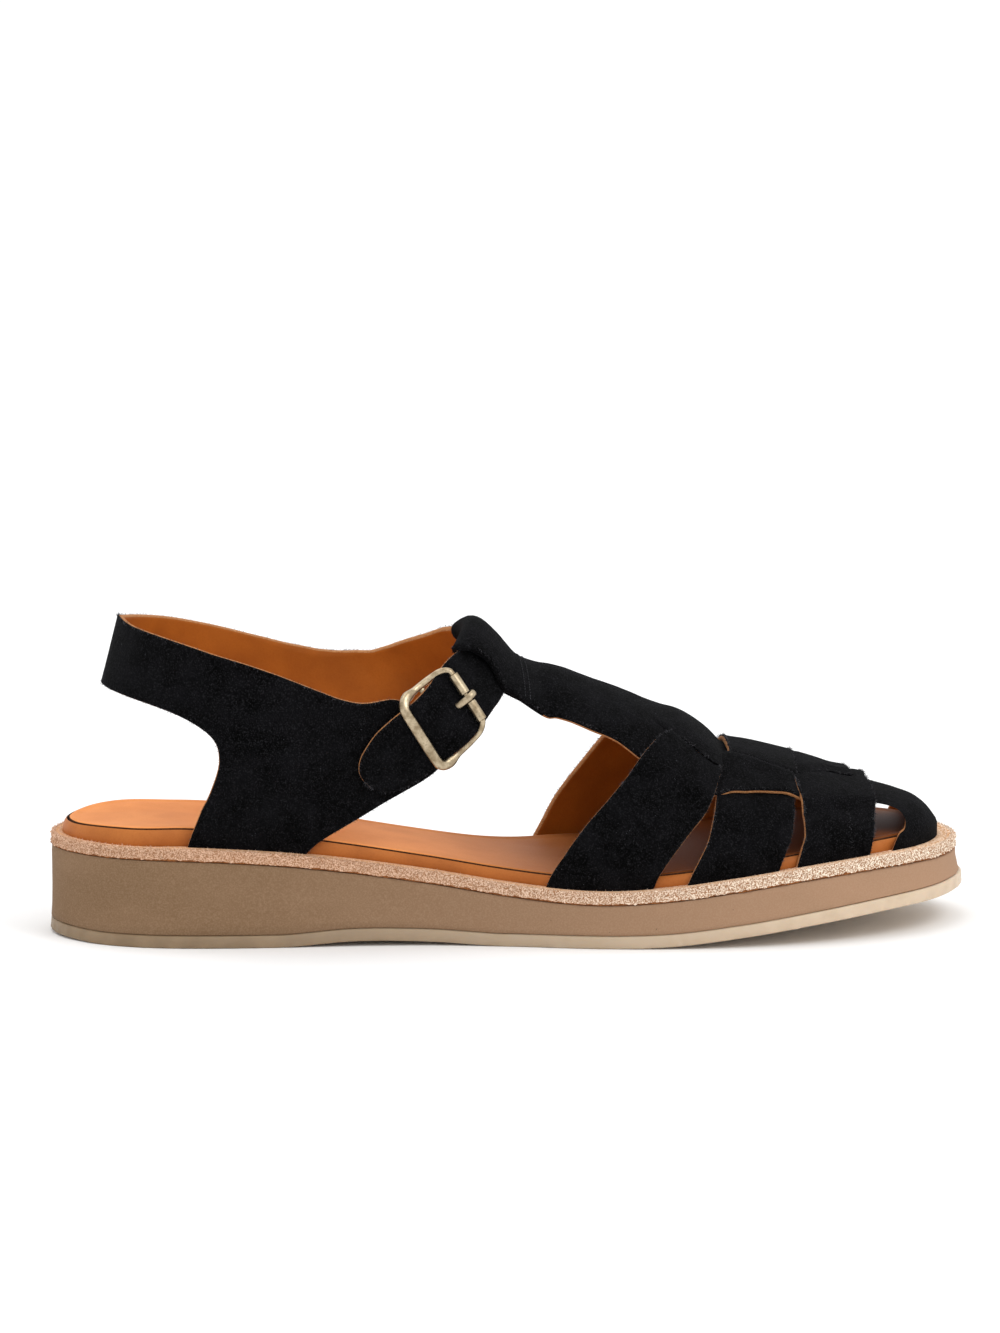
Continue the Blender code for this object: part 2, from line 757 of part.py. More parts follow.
def cross_strap(name, rows, helper=True, steps=31, across=4):
    angles = np.linspace(-90, 90, steps)
    fraction = np.linspace(0, 1, across)[None, :]
    rear, front, rear_lift, front_lift = (curve_through(rows, k, angles)[:, None] for k in (1, 2, 3, 4))
    grid = arch(rear + (front - rear) * fraction, angles[:, None])
    lift = (rear_lift + (front_lift - rear_lift) * fraction) * LIFT
    return sheet(name, lifted(grid, lift), helper=helper)


def centre_strap():
    shares = np.linspace(CENTRE_STRAP[0][0], CENTRE_STRAP[-1][0], 26)
    outer, slit, inner, outer_lift, inner_lift = (
        curve_through(CENTRE_STRAP, k, shares)[:, None] for k in (1, 2, 3, 4, 5)
    )
    slit_half = 0.6
    near = np.linspace(0, 1, 4)[None, :]
    angles = np.hstack([outer + (slit - slit_half - outer) * near, slit + slit_half + (inner - slit) * near])
    grid = arch(shares[:, None], angles)
    lift = np.hstack([np.repeat(outer_lift, 4, 1), np.repeat(inner_lift, 4, 1)]) * LIFT
    grid = lifted(grid, lift)
    return sheet("upper", grid)


def toe_piece():
    """The closed toe fans out from the ridge under the front cross strap down to the sole."""
    centre = arch(TOE_PIECE_START, 0)[:2]
    centre = np.array([centre[0], curve_through(RIDGE, 2, TOE_PIECE_START) * HALF_BALL])
    dense_shares = outline_shares(DENSE)
    rim = outline(DENSE, LAST_INSET + flare_inset(dense_shares))
    bearing = np.arctan2(rim[:, 1] - centre[1], rim[:, 0] - centre[0])
    order = np.argsort(bearing)
    reach = np.hypot(*(rim - centre).T)
    rays = np.radians(np.linspace(-90, 90, 27))
    length = np.interp(rays, bearing[order], reach[order])
    out = np.sin(np.radians(np.linspace(5, 90, 10)))[None, :]
    out = out / out.max()
    x = centre[0] + np.cos(rays)[:, None] * length[:, None] * out
    y = centre[1] + np.sin(rays)[:, None] * length[:, None] * out
    grid = np.stack([x, y, dome(x, y)], -1)
    grid[:, -1, 2] = midsole_top(grid[:, -1, 0]) + GAP
    return sheet("toe_piece", grid, helper=True)


def opening_cutter():
    """Closed block across the toe, with the outline of the openings beside the toe piece."""
    rows = np.array(TOE_OPENING)
    edge = arch(rows[:, 0], rows[:, 1])
    profile = [(x_at(0.84), 5 * MM), (x_at(0.84), edge[0, 2])]
    profile += [(p[0], p[2]) for p in edge]
    profile.append((edge[-1, 0], 5 * MM))
    half = 80 * MM
    rings = [[(x, side * half, z) for x, z in profile] for side in (-1, 1)]
    count = len(profile)
    points = np.array(rings).reshape(-1, 3)
    faces = [tuple(range(count)), tuple(range(count, 2 * count))]
    for i in range(count):
        j = (i + 1) % count
        faces.append((i, j, count + j, count + i))
    cutter = new_piece("opening_cutter", points, faces, helper=True)
    face_outwards(cutter)
    return cutter


def strap_loop():
    """Top of the centre strap, folded round the ankle strap and sewn to itself in front of it."""
    half = STRAP_WIDTH / 2 + 0.4 * MM
    under = FOLD_WALL
    over = LOOP_LIFT + WALL + GAP
    top = over + WALL
    outer = (
        (-half - 1.6 * MM, 0.5 * MM),
        (-half - 0.9 * MM, 0),
        (0, 0),
        (half + 2.5 * MM, 0),
        (half + 4.0 * MM, 0.6 * MM),
        (half + 4.2 * MM, 2.2 * MM),
        (half + 2.0 * MM, top - 0.6 * MM),
        (half - 1.0 * MM, top),
        (0, top),
        (-half + 0.5 * MM, top),
        (-half - 1.5 * MM, top - 1.0 * MM),
        (-half - 2.1 * MM, top / 2),
    )
    inner = (
        (-half, under + 0.3 * MM),
        (-half + 0.3 * MM, under),
        (0, under),
        (half - 0.3 * MM, under),
        (half, under + 0.3 * MM),
        (half, (under + over) / 2),
        (half, over - 0.3 * MM),
        (half - 0.3 * MM, over),
        (0, over),
        (-half + 0.3 * MM, over),
        (-half, over - 0.3 * MM),
        (-half, (under + over) / 2),
    )
    turns = np.linspace(-38, 31, 15)
    rings = []
    for profile in (outer, inner):
        along = np.array([p[0] for p in profile])
        lift = np.array([p[1] for p in profile])
        rings.append([ankle_point(abs(t), along, -1 if t < 0 else 1, lift) for t in turns])
    rings = np.array(rings)
    stations, count = rings.shape[1:3]
    points = rings.reshape(-1, 3)
    faces = []
    for skin in (0, 1):
        for s in range(stations - 1):
            for i in range(count):
                j = (i + 1) % count
                base = (skin * stations + s) * count
                faces.append((base + i, base + j, base + count + j, base + count + i))
    for s in (0, stations - 1):
        for i in range(count):
            j = (i + 1) % count
            faces.append((s * count + i, s * count + j, (stations + s) * count + j, (stations + s) * count + i))
    loop = new_piece("strap_loop", points, faces, helper=True)
    face_outwards(loop)
    return loop


def fill_pockets(piece):
    """Apply the modifiers, then fill the small sealed pockets left between woven layers."""
    bpy.context.view_layer.update()
    graph = bpy.context.evaluated_depsgraph_get()
    mesh = bpy.data.meshes.new_from_object(piece.evaluated_get(graph))
    piece.modifiers.clear()
    piece.data = mesh
    shape = bmesh.new()
    shape.from_mesh(mesh)
    bmesh.ops.triangulate(shape, faces=shape.faces, quad_method="BEAUTY", ngon_method="BEAUTY")
    left = set(shape.faces)
    skins = []
    while left:
        front = [left.pop()]
        skin = list(front)
        while front:
            for edge in front.pop().edges:
                for face in edge.link_faces:
                    if face in left:
                        left.discard(face)
                        front.append(face)
                        skin.append(face)
        skins.append(skin)
    skins.sort(key=len)
    bmesh.ops.delete(shape, geom=[face for skin in skins[:-1] for face in skin], context="FACES")
    shape.to_mesh(mesh)
    shape.free()


def make_upper():
    upper = centre_strap()
    toe = toe_piece()
    boolean(toe, opening_cutter(), "DIFFERENCE")
    woven = bpy.data.collections.new("woven_strips")
    CUTTERS.children.link(woven)
    woven.hide_render = True
    for strip in (
        cross_strap("rear_strap", REAR_STRAP),
        cross_strap("middle_strap", MIDDLE_STRAP),
        cross_strap("front_strap", FRONT_STRAP),
        toe,
        strap_loop(),
    ):
        woven.objects.link(strip)
        CUTTERS.objects.unlink(strip)
    join = upper.modifiers.new("union woven strips", "BOOLEAN")
    join.operation = "UNION"
    join.operand_type = "COLLECTION"
    join.collection = woven
    join.solver = "EXACT"
    fill_pockets(upper)
    smooth(upper)


def column_positions(rows, columns, per_row):
    """The table's columns, read at evenly spread rows."""
    count = len(rows)
    numbered = [(i, *row) for i, row in enumerate(rows)]
    at = np.linspace(0, count - 1, (count - 1) * per_row + 1)
    return [curve_through(numbered, k + 1, at) for k in range(columns)]


def band(rows, side, across, per_row):
    low_turn, low_z, high_turn, high_z = column_positions(rows, 4, per_row)
    f = np.linspace(0, 1, across)[None, :]
    turn = low_turn[:, None] + (high_turn - low_turn)[:, None] * f
    z = (low_z[:, None] + (high_z - low_z)[:, None] * f) * INSTEP_HEIGHT
    return heel_point(turn, z, side)


def ankle_band(rows, across, per_row):
    signed = [(row[0] * row[1], *row[2:]) for row in rows]
    turn, rear, front, lift = column_positions(signed, 4, per_row)
    f = np.linspace(0, 1, across)[None, :]
    along = (front[:, None] + (rear - front)[:, None] * f) * STRAP_WIDTH
    grid = []
    for i, t in enumerate(turn):
        grid.append(ankle_point(abs(t), along[i], -1 if t < 0 else 1, lift[i] * MM))
    return np.array(grid)


def buckle_place(across, back, lift):
    """Point at the buckle: across the strap, back towards the tip, and off the inside of the ankle."""
    skew = BUCKLE_SKEW
    along = -2.1 * MM + across * cos(skew) - back * sin(skew)
    down = BUCKLE_DOWN + across * sin(skew) + back * cos(skew)
    share = np.clip(1 - down / ANKLE_DROP, 0, 1)
    beyond = np.degrees(np.maximum(down / ANKLE_DROP - 1, 0))
    return ankle_point(np.degrees(np.arccos(share)) + beyond, along, -1, lift)


def make_quarter():
    across = 5
    outer = band(OUTER_BAND, -1, across, 2)
    inner = band(INNER_BAND, 1, across, 2)
    strap = ankle_band(ANKLE_STRAP, across, 1)
    grid = np.concatenate([outer, inner, strap])
    quarter = sheet("quarter", grid)
    half, length = 1.9 * MM, 3.9 * MM
    corners = []
    for lift in (-1.5 * MM, 9 * MM):
        for u, v in ((-half, -length), (half, -length), (half, length), (-half, length)):
            corners.append(buckle_place(np.array(u), np.array(v), np.array(lift)))
    faces = [(0, 1, 2, 3), (4, 5, 6, 7), (0, 1, 5, 4), (1, 2, 6, 5), (2, 3, 7, 6), (3, 0, 4, 7)]
    slot = new_piece("prong_slot", corners, faces, helper=True)
    face_outwards(slot)
    boolean(quarter, slot, "DIFFERENCE")
    smooth(quarter)


def tube(name, path, wide, tall, sides=10, closed=False, helper=False):
    """Flattened wire along a path of (across, back, lift) at the buckle."""
    path = np.array(path)
    count = len(path)
    places = np.array([buckle_place(*p) for p in path])
    ups = np.array([buckle_place(p[0], p[1], p[2] + MM) for p in path]) - places
    if closed:
        ahead = np.roll(places, -1, 0) - np.roll(places, 1, 0)
    else:
        ahead = np.gradient(places, axis=0)
    ahead /= np.linalg.norm(ahead, axis=1, keepdims=True)
    sideways = np.cross(ahead, ups)
    sideways /= np.linalg.norm(sideways, axis=1, keepdims=True)
    ups = np.cross(sideways, ahead)
    rings = []
    for i in range(count):
        turn = np.arange(sides) * 2 * pi / sides
        rings.append(
            places[i] + np.outer(np.cos(turn) * wide / 2, sideways[i]) + np.outer(np.sin(turn) * tall / 2, ups[i])
        )
    points = np.array(rings).reshape(-1, 3)
    faces = []
    for r in range(count if closed else count - 1):
        s = (r + 1) % count
        for i in range(sides):
            j = (i + 1) % sides
            faces.append((r * sides + i, r * sides + j, s * sides + j, s * sides + i))
    if not closed:
        faces.append(tuple(range(sides)))
        faces.append(tuple(range((count - 1) * sides, count * sides)))
    piece = new_piece(name, points, faces, helper)
    face_outwards(piece)
    return piece


def make_buckle():
    half_u = (BUCKLE_LENGTH - WIRE) / 2
    half_v = (BUCKLE_WIDTH - WIRE) / 2
    corner = 2.4 * MM
    path = []
    for quadrant, (su, sv) in enumerate(((1, 1), (-1, 1), (-1, -1), (1, -1))):
        turns = np.radians(np.linspace(90 * quadrant, 90 * quadrant + 90, 4))
        for t in turns:
            path.append((su * (half_u - corner) + corner * cos(t), sv * (half_v - corner) + corner * sin(t)))
        u, v = path[-1]
        if quadrant in (1, 3):
            for f in (0.2, 0.4, 0.5, 0.6, 0.8):
                path.append((u, v + (-2 * v) * f))
        else:
            path.append((0.0, v))
    shaped = []
    for u, v in path:
        dip = 1 - min(abs(v) / (half_v - 0.5 * MM), 1) ** 2
        reach = u * (1 + BUCKLE_TAPER * v / half_v)
        shaped.append((reach, v, FRAME_LIFT - (FRAME_LIFT - BAR_LIFT - 0.3 * MM) * dip))
    frame = tube("buckle_frame", shaped, WIRE, 2.2 * MM, closed=True)
    bar = tube("centre_bar", [(u, 0, BAR_LIFT) for u in np.linspace(-half_u, half_u, 7)], 2 * MM, 2 * MM, helper=True)
    boolean(frame, bar, "UNION")
    smooth(frame)
    radius = 1 * MM + GAP + 0.65 * MM
    path = [(0, -radius * sin(t), BAR_LIFT + radius * cos(t)) for t in np.radians(np.linspace(250, 50, 10))]
    path += [
        (0, -2.2 * MM, 6.3 * MM),
        (0, -2.9 * MM, 7.8 * MM),
        (0, -4.6 * MM, FRAME_LIFT + 2.1 * MM),
        (0, -half_v, FRAME_LIFT + 2.4 * MM),
        (0, -half_v - 1.4 * MM, FRAME_LIFT + 1.9 * MM),
    ]
    prong = tube("buckle_prong", path, 1.7 * MM, 1.3 * MM)
    smooth(prong)


make_sole()
make_welt()
make_footbed()
make_upper()
make_quarter()
make_buckle()
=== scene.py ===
import json
from math import cos, pi, radians, sin

import bmesh
import bpy
import numpy as np
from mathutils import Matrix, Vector

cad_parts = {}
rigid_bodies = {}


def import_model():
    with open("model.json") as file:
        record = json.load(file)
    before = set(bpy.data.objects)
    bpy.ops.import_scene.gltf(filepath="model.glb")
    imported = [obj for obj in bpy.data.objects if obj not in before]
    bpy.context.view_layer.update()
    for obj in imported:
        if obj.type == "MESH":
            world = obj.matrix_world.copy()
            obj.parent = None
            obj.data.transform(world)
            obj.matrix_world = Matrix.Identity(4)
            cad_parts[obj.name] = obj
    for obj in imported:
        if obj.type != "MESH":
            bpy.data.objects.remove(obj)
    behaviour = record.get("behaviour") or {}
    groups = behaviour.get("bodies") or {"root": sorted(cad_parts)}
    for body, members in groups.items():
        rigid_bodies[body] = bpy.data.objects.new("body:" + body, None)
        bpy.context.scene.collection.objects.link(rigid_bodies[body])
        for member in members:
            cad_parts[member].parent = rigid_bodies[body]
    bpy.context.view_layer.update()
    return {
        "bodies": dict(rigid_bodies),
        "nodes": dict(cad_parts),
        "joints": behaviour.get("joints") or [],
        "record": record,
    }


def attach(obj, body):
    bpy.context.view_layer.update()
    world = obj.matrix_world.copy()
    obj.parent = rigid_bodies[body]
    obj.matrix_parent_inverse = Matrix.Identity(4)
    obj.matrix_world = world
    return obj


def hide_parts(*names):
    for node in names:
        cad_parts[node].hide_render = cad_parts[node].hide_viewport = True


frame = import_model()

# Right fisherman sandal in black suede, in metres.
# The toe points along +X and the outer side of the foot faces -Y.

MM = 0.001
DENSE = 3600  # points round the sole from which every ring is picked

# Driving dimensions
LENGTH = 270 * MM
BALL_WIDTH = 97 * MM
OUTSOLE_THICKNESS = 3.8 * MM
WELT_THICKNESS = 3.7 * MM
HEEL_HEIGHT = 29.9 * MM  # floor to the top of the welt at the heel
TOE_FLARE = 1.8 * MM  # how far the sole's edge leans outwards at the toe
FOOTBED_RISE = 4.9 * MM  # footbed above the welt at the heel
WALL = 2.0 * MM  # lined leather of every strap
LIFT = 2.1 * MM  # how far a strip that passes over another is raised
GAP = 0.3 * MM  # clearance between pieces that meet
WELT_LEDGE = 5.2 * MM  # welt showing outside the straps
SEAM_INSET = 1.8 * MM  # sock's edge from the footbed's edge
HEEL_REACH = 4.2 * MM  # how much nearer to the sole's edge the footbed comes behind the legs
INSTEP_HEIGHT = 82.1 * MM  # inside of the ankle strap's loop above the floor
INSTEP_X = -7.9 * MM
STRAP_WIDTH = 18.6 * MM
ANKLE_HALF_WIDTH = 32 * MM
ANKLE_DROP = 30 * MM  # depth below the instep at which the ankle's sides stand upright
STAND = 6 * MM  # upright foot of every strap beside the footbed
ANKLE_TILT = radians(49.5)  # slope of the ankle strap's plane
BUCKLE_LENGTH = 24.4 * MM
BUCKLE_WIDTH = 16.4 * MM
BUCKLE_TAPER = 0.05  # how much longer the rear bar is than the middle, as a share
WIRE = 2.2 * MM
BUCKLE_SKEW = radians(13)
BUCKLE_DOWN = 21.5 * MM  # its middle, measured down the ankle strap
BAR_LIFT = 3.4 * MM  # centre bar off the inside of the leather
FRAME_LIFT = 7.1 * MM

HALF_BALL = BALL_WIDTH / 2
LAST_INSET = WELT_LEDGE + GAP + WALL  # inner face of the straps at their feet
FOOTBED_INSET = LAST_INSET + GAP

# Plan of the sole: share of LENGTH from the heel, outer and inner half-widths as shares of HALF_BALL
PLAN = (
    (0.000, 0.000, 0.000),
    (0.015, 0.295, 0.290),
    (0.050, 0.515, 0.505),
    (0.100, 0.650, 0.640),
    (0.160, 0.705, 0.692),
    (0.240, 0.718, 0.682),
    (0.340, 0.715, 0.640),
    (0.420, 0.740, 0.622),
    (0.500, 0.826, 0.680),
    (0.570, 0.930, 0.800),
    (0.640, 0.990, 0.910),
    (0.710, 1.008, 0.982),
    (0.780, 0.980, 0.998),
    (0.850, 0.876, 0.960),
    (0.910, 0.712, 0.858),
    (0.960, 0.480, 0.672),
    (0.990, 0.185, 0.410),
    (1.000, -0.105, 0.105),
)

# Side view of the sole: share of LENGTH, underside and welt top as shares of HEEL_HEIGHT
SIDE = (
    (0.00, 0.020, 1.000),
    (0.05, 0.000, 0.998),
    (0.16, 0.000, 0.982),
    (0.24, 0.000, 0.934),
    (0.32, 0.050, 0.850),
    (0.40, 0.040, 0.746),
    (0.48, 0.000, 0.632),
    (0.54, 0.000, 0.572),
    (0.60, 0.000, 0.556),
    (0.66, 0.020, 0.592),
    (0.74, 0.100, 0.682),
    (0.82, 0.195, 0.768),
    (0.90, 0.275, 0.815),
    (1.00, 0.330, 0.815),
)

# Ridge of the foot's front: share of LENGTH, height as a share of INSTEP_HEIGHT and inner offset as a
# share of HALF_BALL
RIDGE = (
    (0.485, 0.958, 0.02),
    (0.505, 0.934, 0.04),
    (0.523, 0.924, 0.06),
    (0.553, 0.905, 0.07),
    (0.587, 0.861, 0.08),
    (0.645, 0.782, 0.10),
    (0.689, 0.700, 0.11),
    (0.733, 0.608, 0.12),
    (0.770, 0.580, 0.13),
    (0.809, 0.545, 0.13),
    (0.840, 0.512, 0.13),
    (0.871, 0.475, 0.13),
    (0.900, 0.450, 0.12),
    (0.930, 0.422, 0.12),
    (0.948, 0.398, 0.12),
    (0.959, 0.368, 0.11),
    (0.966, 0.334, 0.11),
)


def curve_through(rows, column, at):
    """Smooth curve through a table's first column and the given one."""
    xs = np.array([row[0] for row in rows])
    vs = np.array([row[column] for row in rows])
    steps = np.diff(xs)
    slopes = np.diff(vs) / steps
    tangents = np.concatenate(
        [
            slopes[:1],
            (slopes[:-1] * steps[1:] + slopes[1:] * steps[:-1]) / (steps[:-1] + steps[1:]),
            slopes[-1:],
        ]
    )
    at = np.clip(np.asarray(at, float), xs[0], xs[-1])
    i = np.clip(np.searchsorted(xs, at, side="right") - 1, 0, len(steps) - 1)
    h = steps[i]
    u = (at - xs[i]) / h
    return (
        vs[i] * (1 + 2 * u) * (1 - u) ** 2
        + tangents[i] * h * u * (1 - u) ** 2
        + vs[i + 1] * u**2 * (3 - 2 * u)
        + tangents[i + 1] * h * u**2 * (u - 1)
    )


def soft_step(value, low, high):
    u = np.clip((np.asarray(value, float) - low) / (high - low), 0, 1)
    return u * u * (3 - 2 * u)


def share_at(x):
    return x / LENGTH + 0.5


def x_at(share):
    return (share - 0.5) * LENGTH


# The plan's half-widths run over an angle from heel to toe, which keeps both ends round.
PLAN_ANGLES = tuple((np.arccos(1 - 2 * row[0]), row[1], row[2]) for row in PLAN)


def outline(count, inset=0.0):
    """Points round the sole: the outer side from heel to toe, then the inner side back. Inset may vary."""
    angles = np.linspace(0, 2 * pi, DENSE, endpoint=False)
    outer = angles <= pi
    folded = np.where(outer, angles, 2 * pi - angles)
    x = x_at((1 - np.cos(folded)) / 2)
    y = np.where(
        outer,
        -curve_through(PLAN_ANGLES, 1, folded),
        curve_through(PLAN_ANGLES, 2, folded),
    )
    y = y * HALF_BALL
    dx = np.roll(x, -2) - np.roll(x, 2)
    dy = np.roll(y, -2) - np.roll(y, 2)
    size = np.hypot(dx, dy)
    pick = np.arange(count) * DENSE // count
    points = np.stack([x - dy / size * inset, y + dx / size * inset], 1)
    return points[pick]


def flare_inset(share):
    """Inset of everything above the outsole, where its edge leans outwards at the toe."""
    return TOE_FLARE * soft_step(share, 0.70, 0.98)


def outline_shares(count):
    angles = np.arange(count) * 2 * pi / count
    folded = np.where(angles <= pi, angles, 2 * pi - angles)
    return (1 - np.cos(folded)) / 2


def half_widths(inset):
    """Outer and inner half-widths against x at an inset from the sole's edge, as two tables."""
    count = DENSE // 2
    shares = outline_shares(DENSE)
    points = outline(DENSE, inset + flare_inset(shares))
    outer = points[: count + 1]
    inner = np.roll(points, -count, axis=0)[: count + 1][::-1]
    return outer, inner


def width_at(table, x):
    order = np.argsort(table[:, 0])
    return np.abs(np.interp(x, table[order, 0], table[order, 1]))


def floor_side(x):
    return np.maximum(curve_through(SIDE, 1, share_at(x)), 0) * HEEL_HEIGHT


def welt_top(x):
    return curve_through(SIDE, 2, share_at(x)) * HEEL_HEIGHT


def midsole_top(x):
    return welt_top(x) - WELT_THICKNESS


def outsole_top(x):
    return floor_side(x) + OUTSOLE_THICKNESS


def footbed_top(x, y):
    """Top of the sock: it stands highest at the heel and swells softly beside the arch."""
    share = share_at(x)
    rise = FOOTBED_RISE * (1 - 0.33 * soft_step(share, 0.12, 0.42))
    swell = 1.6 * MM * np.exp(-(((share - 0.56) / 0.06) ** 2)) * soft_step(y, 12 * MM, 34 * MM)
    dish = 0.8 * MM * (1 - soft_step(np.abs(y), 6 * MM, 24 * MM)) * (1 - soft_step(share, 0.2, 0.4))
    return welt_top(x) + rise + swell - dish


def footbed_inset():
    """Inset of the footbed's side at each dense point of the outline."""
    return FOOTBED_INSET - HEEL_REACH * (1 - soft_step(outline_shares(DENSE), 0.065, 0.14))


LAST_OUTER, LAST_INNER = half_widths(LAST_INSET)
FULLNESS_ACROSS = 2.25
FULLNESS_UP = 2.10


def ridge_and_feet(x, share):
    """Middle line, crown and feet of the inside surface: ridge y and z, foot z, outer and inner reach."""
    ridge_y = curve_through(RIDGE, 2, share) * HALF_BALL
    ridge_z = curve_through(RIDGE, 1, share) * INSTEP_HEIGHT
    foot_z = midsole_top(x) + GAP
    outer = width_at(LAST_OUTER, x) + ridge_y
    inner = width_at(LAST_INNER, x) - ridge_y
    return ridge_y, ridge_z, foot_z, outer, inner


def arch(share, angle):
    """Point on the inside of the front upper, from -90 degrees at the outer foot to 90 at the inner one."""
    share, angle = np.broadcast_arrays(np.asarray(share, float), np.radians(angle))
    x = x_at(share)
    ridge_y, ridge_z, foot_z, outer, inner = ridge_and_feet(x, share)
    across = np.abs(np.sin(angle)) ** (2 / FULLNESS_ACROSS)
    up = np.abs(np.cos(angle)) ** (2 / FULLNESS_UP)
    y = ridge_y + np.where(angle < 0, -outer, inner) * across
    stand = STAND * np.clip((radians(90) - np.abs(angle)) / radians(6), 0, 1)
    return np.stack([x, y, foot_z + stand + (ridge_z - foot_z - STAND) * up], -1)


def dome(x, y):
    """Height of the same inside surface above a point of the plan."""
    share = share_at(x)
    ridge_y, ridge_z, foot_z, outer, inner = ridge_and_feet(x, share)
    across = np.clip(np.where(y < ridge_y, (ridge_y - y) / outer, (y - ridge_y) / inner), 0, 1)
    up = (1 - across**FULLNESS_ACROSS) ** (1 / FULLNESS_UP)
    return foot_z + STAND + (ridge_z - foot_z - STAND) * up


# Ankle: coordinates (along, down) in the side view, measured from the ridge under the ankle strap
ALONG = np.array([sin(ANKLE_TILT), -cos(ANKLE_TILT)])
DOWN = np.array([-cos(ANKLE_TILT), -sin(ANKLE_TILT)])
HEEL_LEAN = 0.25
HEEL_BACK = 6.0 * MM
HEEL_RADIUS = 34 * MM


def ankle_depth(x, z):
    return (x - INSTEP_X) * DOWN[0] + (z - INSTEP_HEIGHT) * DOWN[1]


def wall_width(x, z, side):
    """Half-width of the inside of the legs and bands: it follows the footbed below and the ankle above."""
    table = LAST_OUTER if side < 0 else LAST_INNER
    foot = width_at(table, x)
    blend = soft_step(z, 24 * MM, 74 * MM)
    width = foot + (ANKLE_HALF_WIDTH - foot) * blend
    depth = np.clip(ankle_depth(x, z) / ANKLE_DROP, 0, 1)
    return width * np.sqrt(np.clip(1 - (1 - depth) ** 2, 0, 1))


def heel_back(z):
    return x_at(0) + HEEL_BACK + HEEL_LEAN * (z - HEEL_HEIGHT)


def ankle_point(turn, along, side, lift):
    """Point over the instep: the turn is 0 on the ridge and 90 where the ankle's side stands upright."""
    turn, along, lift = np.broadcast_arrays(turn, along, lift)

    def inside(angle, reach):
        bent = np.radians(np.minimum(angle, 90))
        down = ANKLE_DROP * (1 - np.cos(bent) + np.radians(np.maximum(angle - 90, 0)))
        x = INSTEP_X + reach * ALONG[0] + down * DOWN[0]
        z = INSTEP_HEIGHT + reach * ALONG[1] + down * DOWN[1]
        return np.stack([x, side * wall_width(x, z, side), z], -1)

    step = 0.5
    across = inside(turn + step, along) - inside(np.maximum(turn - step, 0), along)
    forward = inside(turn, along + step * MM) - inside(turn, along - step * MM)
    normal = np.cross(forward, across) * side
    normal /= np.linalg.norm(normal, axis=-1, keepdims=True)
    return inside(turn, along) + normal * lift[..., None]


def heel_point(turn, z, side):
    """Point on the inside of the heel strap and legs. The turn is 0 at the back and 90 at the side."""
    bent = np.radians(np.minimum(turn, 90))
    straight = np.radians(np.maximum(turn - 90, 0))
    x = heel_back(z) + HEEL_RADIUS * (1 - np.cos(bent) + straight)
    z = np.maximum(z, midsole_top(x) + GAP)
    return np.stack([x, side * wall_width(x, z, side) * np.sin(bent), z], -1)


# Quarter, from the buckle round to the heel: lower turn and height, upper turn and height.
# Turns are degrees round the heel, negative on the outer side, and heights are shares of INSTEP_HEIGHT.
HEEL_BAND = (
    (-202, 0.747, -180, 0.857),
    (-200, 0.635, -170, 0.887),
    (-179, 0.521, -158, 0.878),
    (-165, 0.447, -152, 0.879),
    (-151, 0.375, -146, 0.888),
    (-141, 0.300, -141, 0.898),
    (-126, 0.300, -136, 0.911),
    (-108, 0.300, -130, 0.927),
    (-89, 0.300, -124, 0.943),
    (-89, 0.467, -117, 0.962),
    (-91, 0.546, -111, 0.978),
    (-92, 0.630, -105, 0.993),
    (-91, 0.688, -98, 1.010),
    (-87, 0.748, -88, 1.033),
    (-79, 0.797, -76, 1.057),
    (-66, 0.842, -61, 1.086),
    (-50, 0.872, -43, 1.110),
    (-28, 0.892, -22, 1.125),
    (0, 0.897, 0, 1.134),
    (28, 0.886, 22, 1.112),
    (51, 0.866, 43, 1.091),
    (66, 0.838, 60, 1.071),
    (82, 0.808, 76, 1.046),
    (95, 0.765, 91, 1.021),
    (104, 0.715, 103, 0.999),
    (107, 0.650, 112, 0.983),
    (107, 0.560, 119, 0.970),
    (105, 0.460, 126, 0.958),
    (103, 0.300, 133, 0.948),
    (114, 0.300, 137, 0.942),
    (128, 0.300, 141, 0.936),
    (141, 0.300, 145, 0.933),
    (151, 0.375, 148, 0.930),
    (165, 0.447, 151, 0.929),
    (179, 0.521, 155, 0.928),
    (200, 0.635, 160, 0.928),
)
# Ankle strap from the inner side over the instep to the tip: side, turn, rear and front edge as shares
# of STRAP_WIDTH from its middle, lift in millimetres
ANKLE_STRAP = (
    (1, 78, -1.00, 0.42, 0.0),
    (1, 70, -0.86, 0.44, 0.0),
    (1, 60, -0.73, 0.47, 0.0),
    (1, 48, -0.58, 0.50, 0.4),
    (1, 37, -0.47, 0.50, 1.4),
    (1, 26, -0.36, 0.48, 1.5),
    (1, 13, -0.36, 0.47, 1.5),
    (1, 0, -0.38, 0.47, 1.5),
    (-1, 13, -0.40, 0.47, 1.5),
    (-1, 26, -0.42, 0.48, 1.5),
    (-1, 36, -0.45, 0.50, 1.5),
    (-1, 41, -0.49, 0.50, 1.6),
    (-1, 47, -0.53, 0.49, 2.0),
    (-1, 53, -0.56, 0.47, 2.7),
    (-1, 59, -0.57, 0.46, 3.3),
    (-1, 65, -0.58, 0.45, 4.0),
    (-1, 70, -0.59, 0.44, 4.4),
    (-1, 76, -0.62, 0.42, 4.5),
    (-1, 81, -0.65, 0.38, 4.0),
    (-1, 87, -0.69, 0.34, 3.2),
    (-1, 94, -0.72, 0.29, 2.7),
    (-1, 102, -0.74, 0.26, 2.5),
    (-1, 110, -0.72, 0.20, 2.5),
    (-1, 117, -0.68, 0.11, 2.5),
    (-1, 122, -0.60, 0.00, 2.5),
    (-1, 125, -0.50, -0.12, 2.5),
    (-1, 126, -0.40, -0.22, 2.5),
)

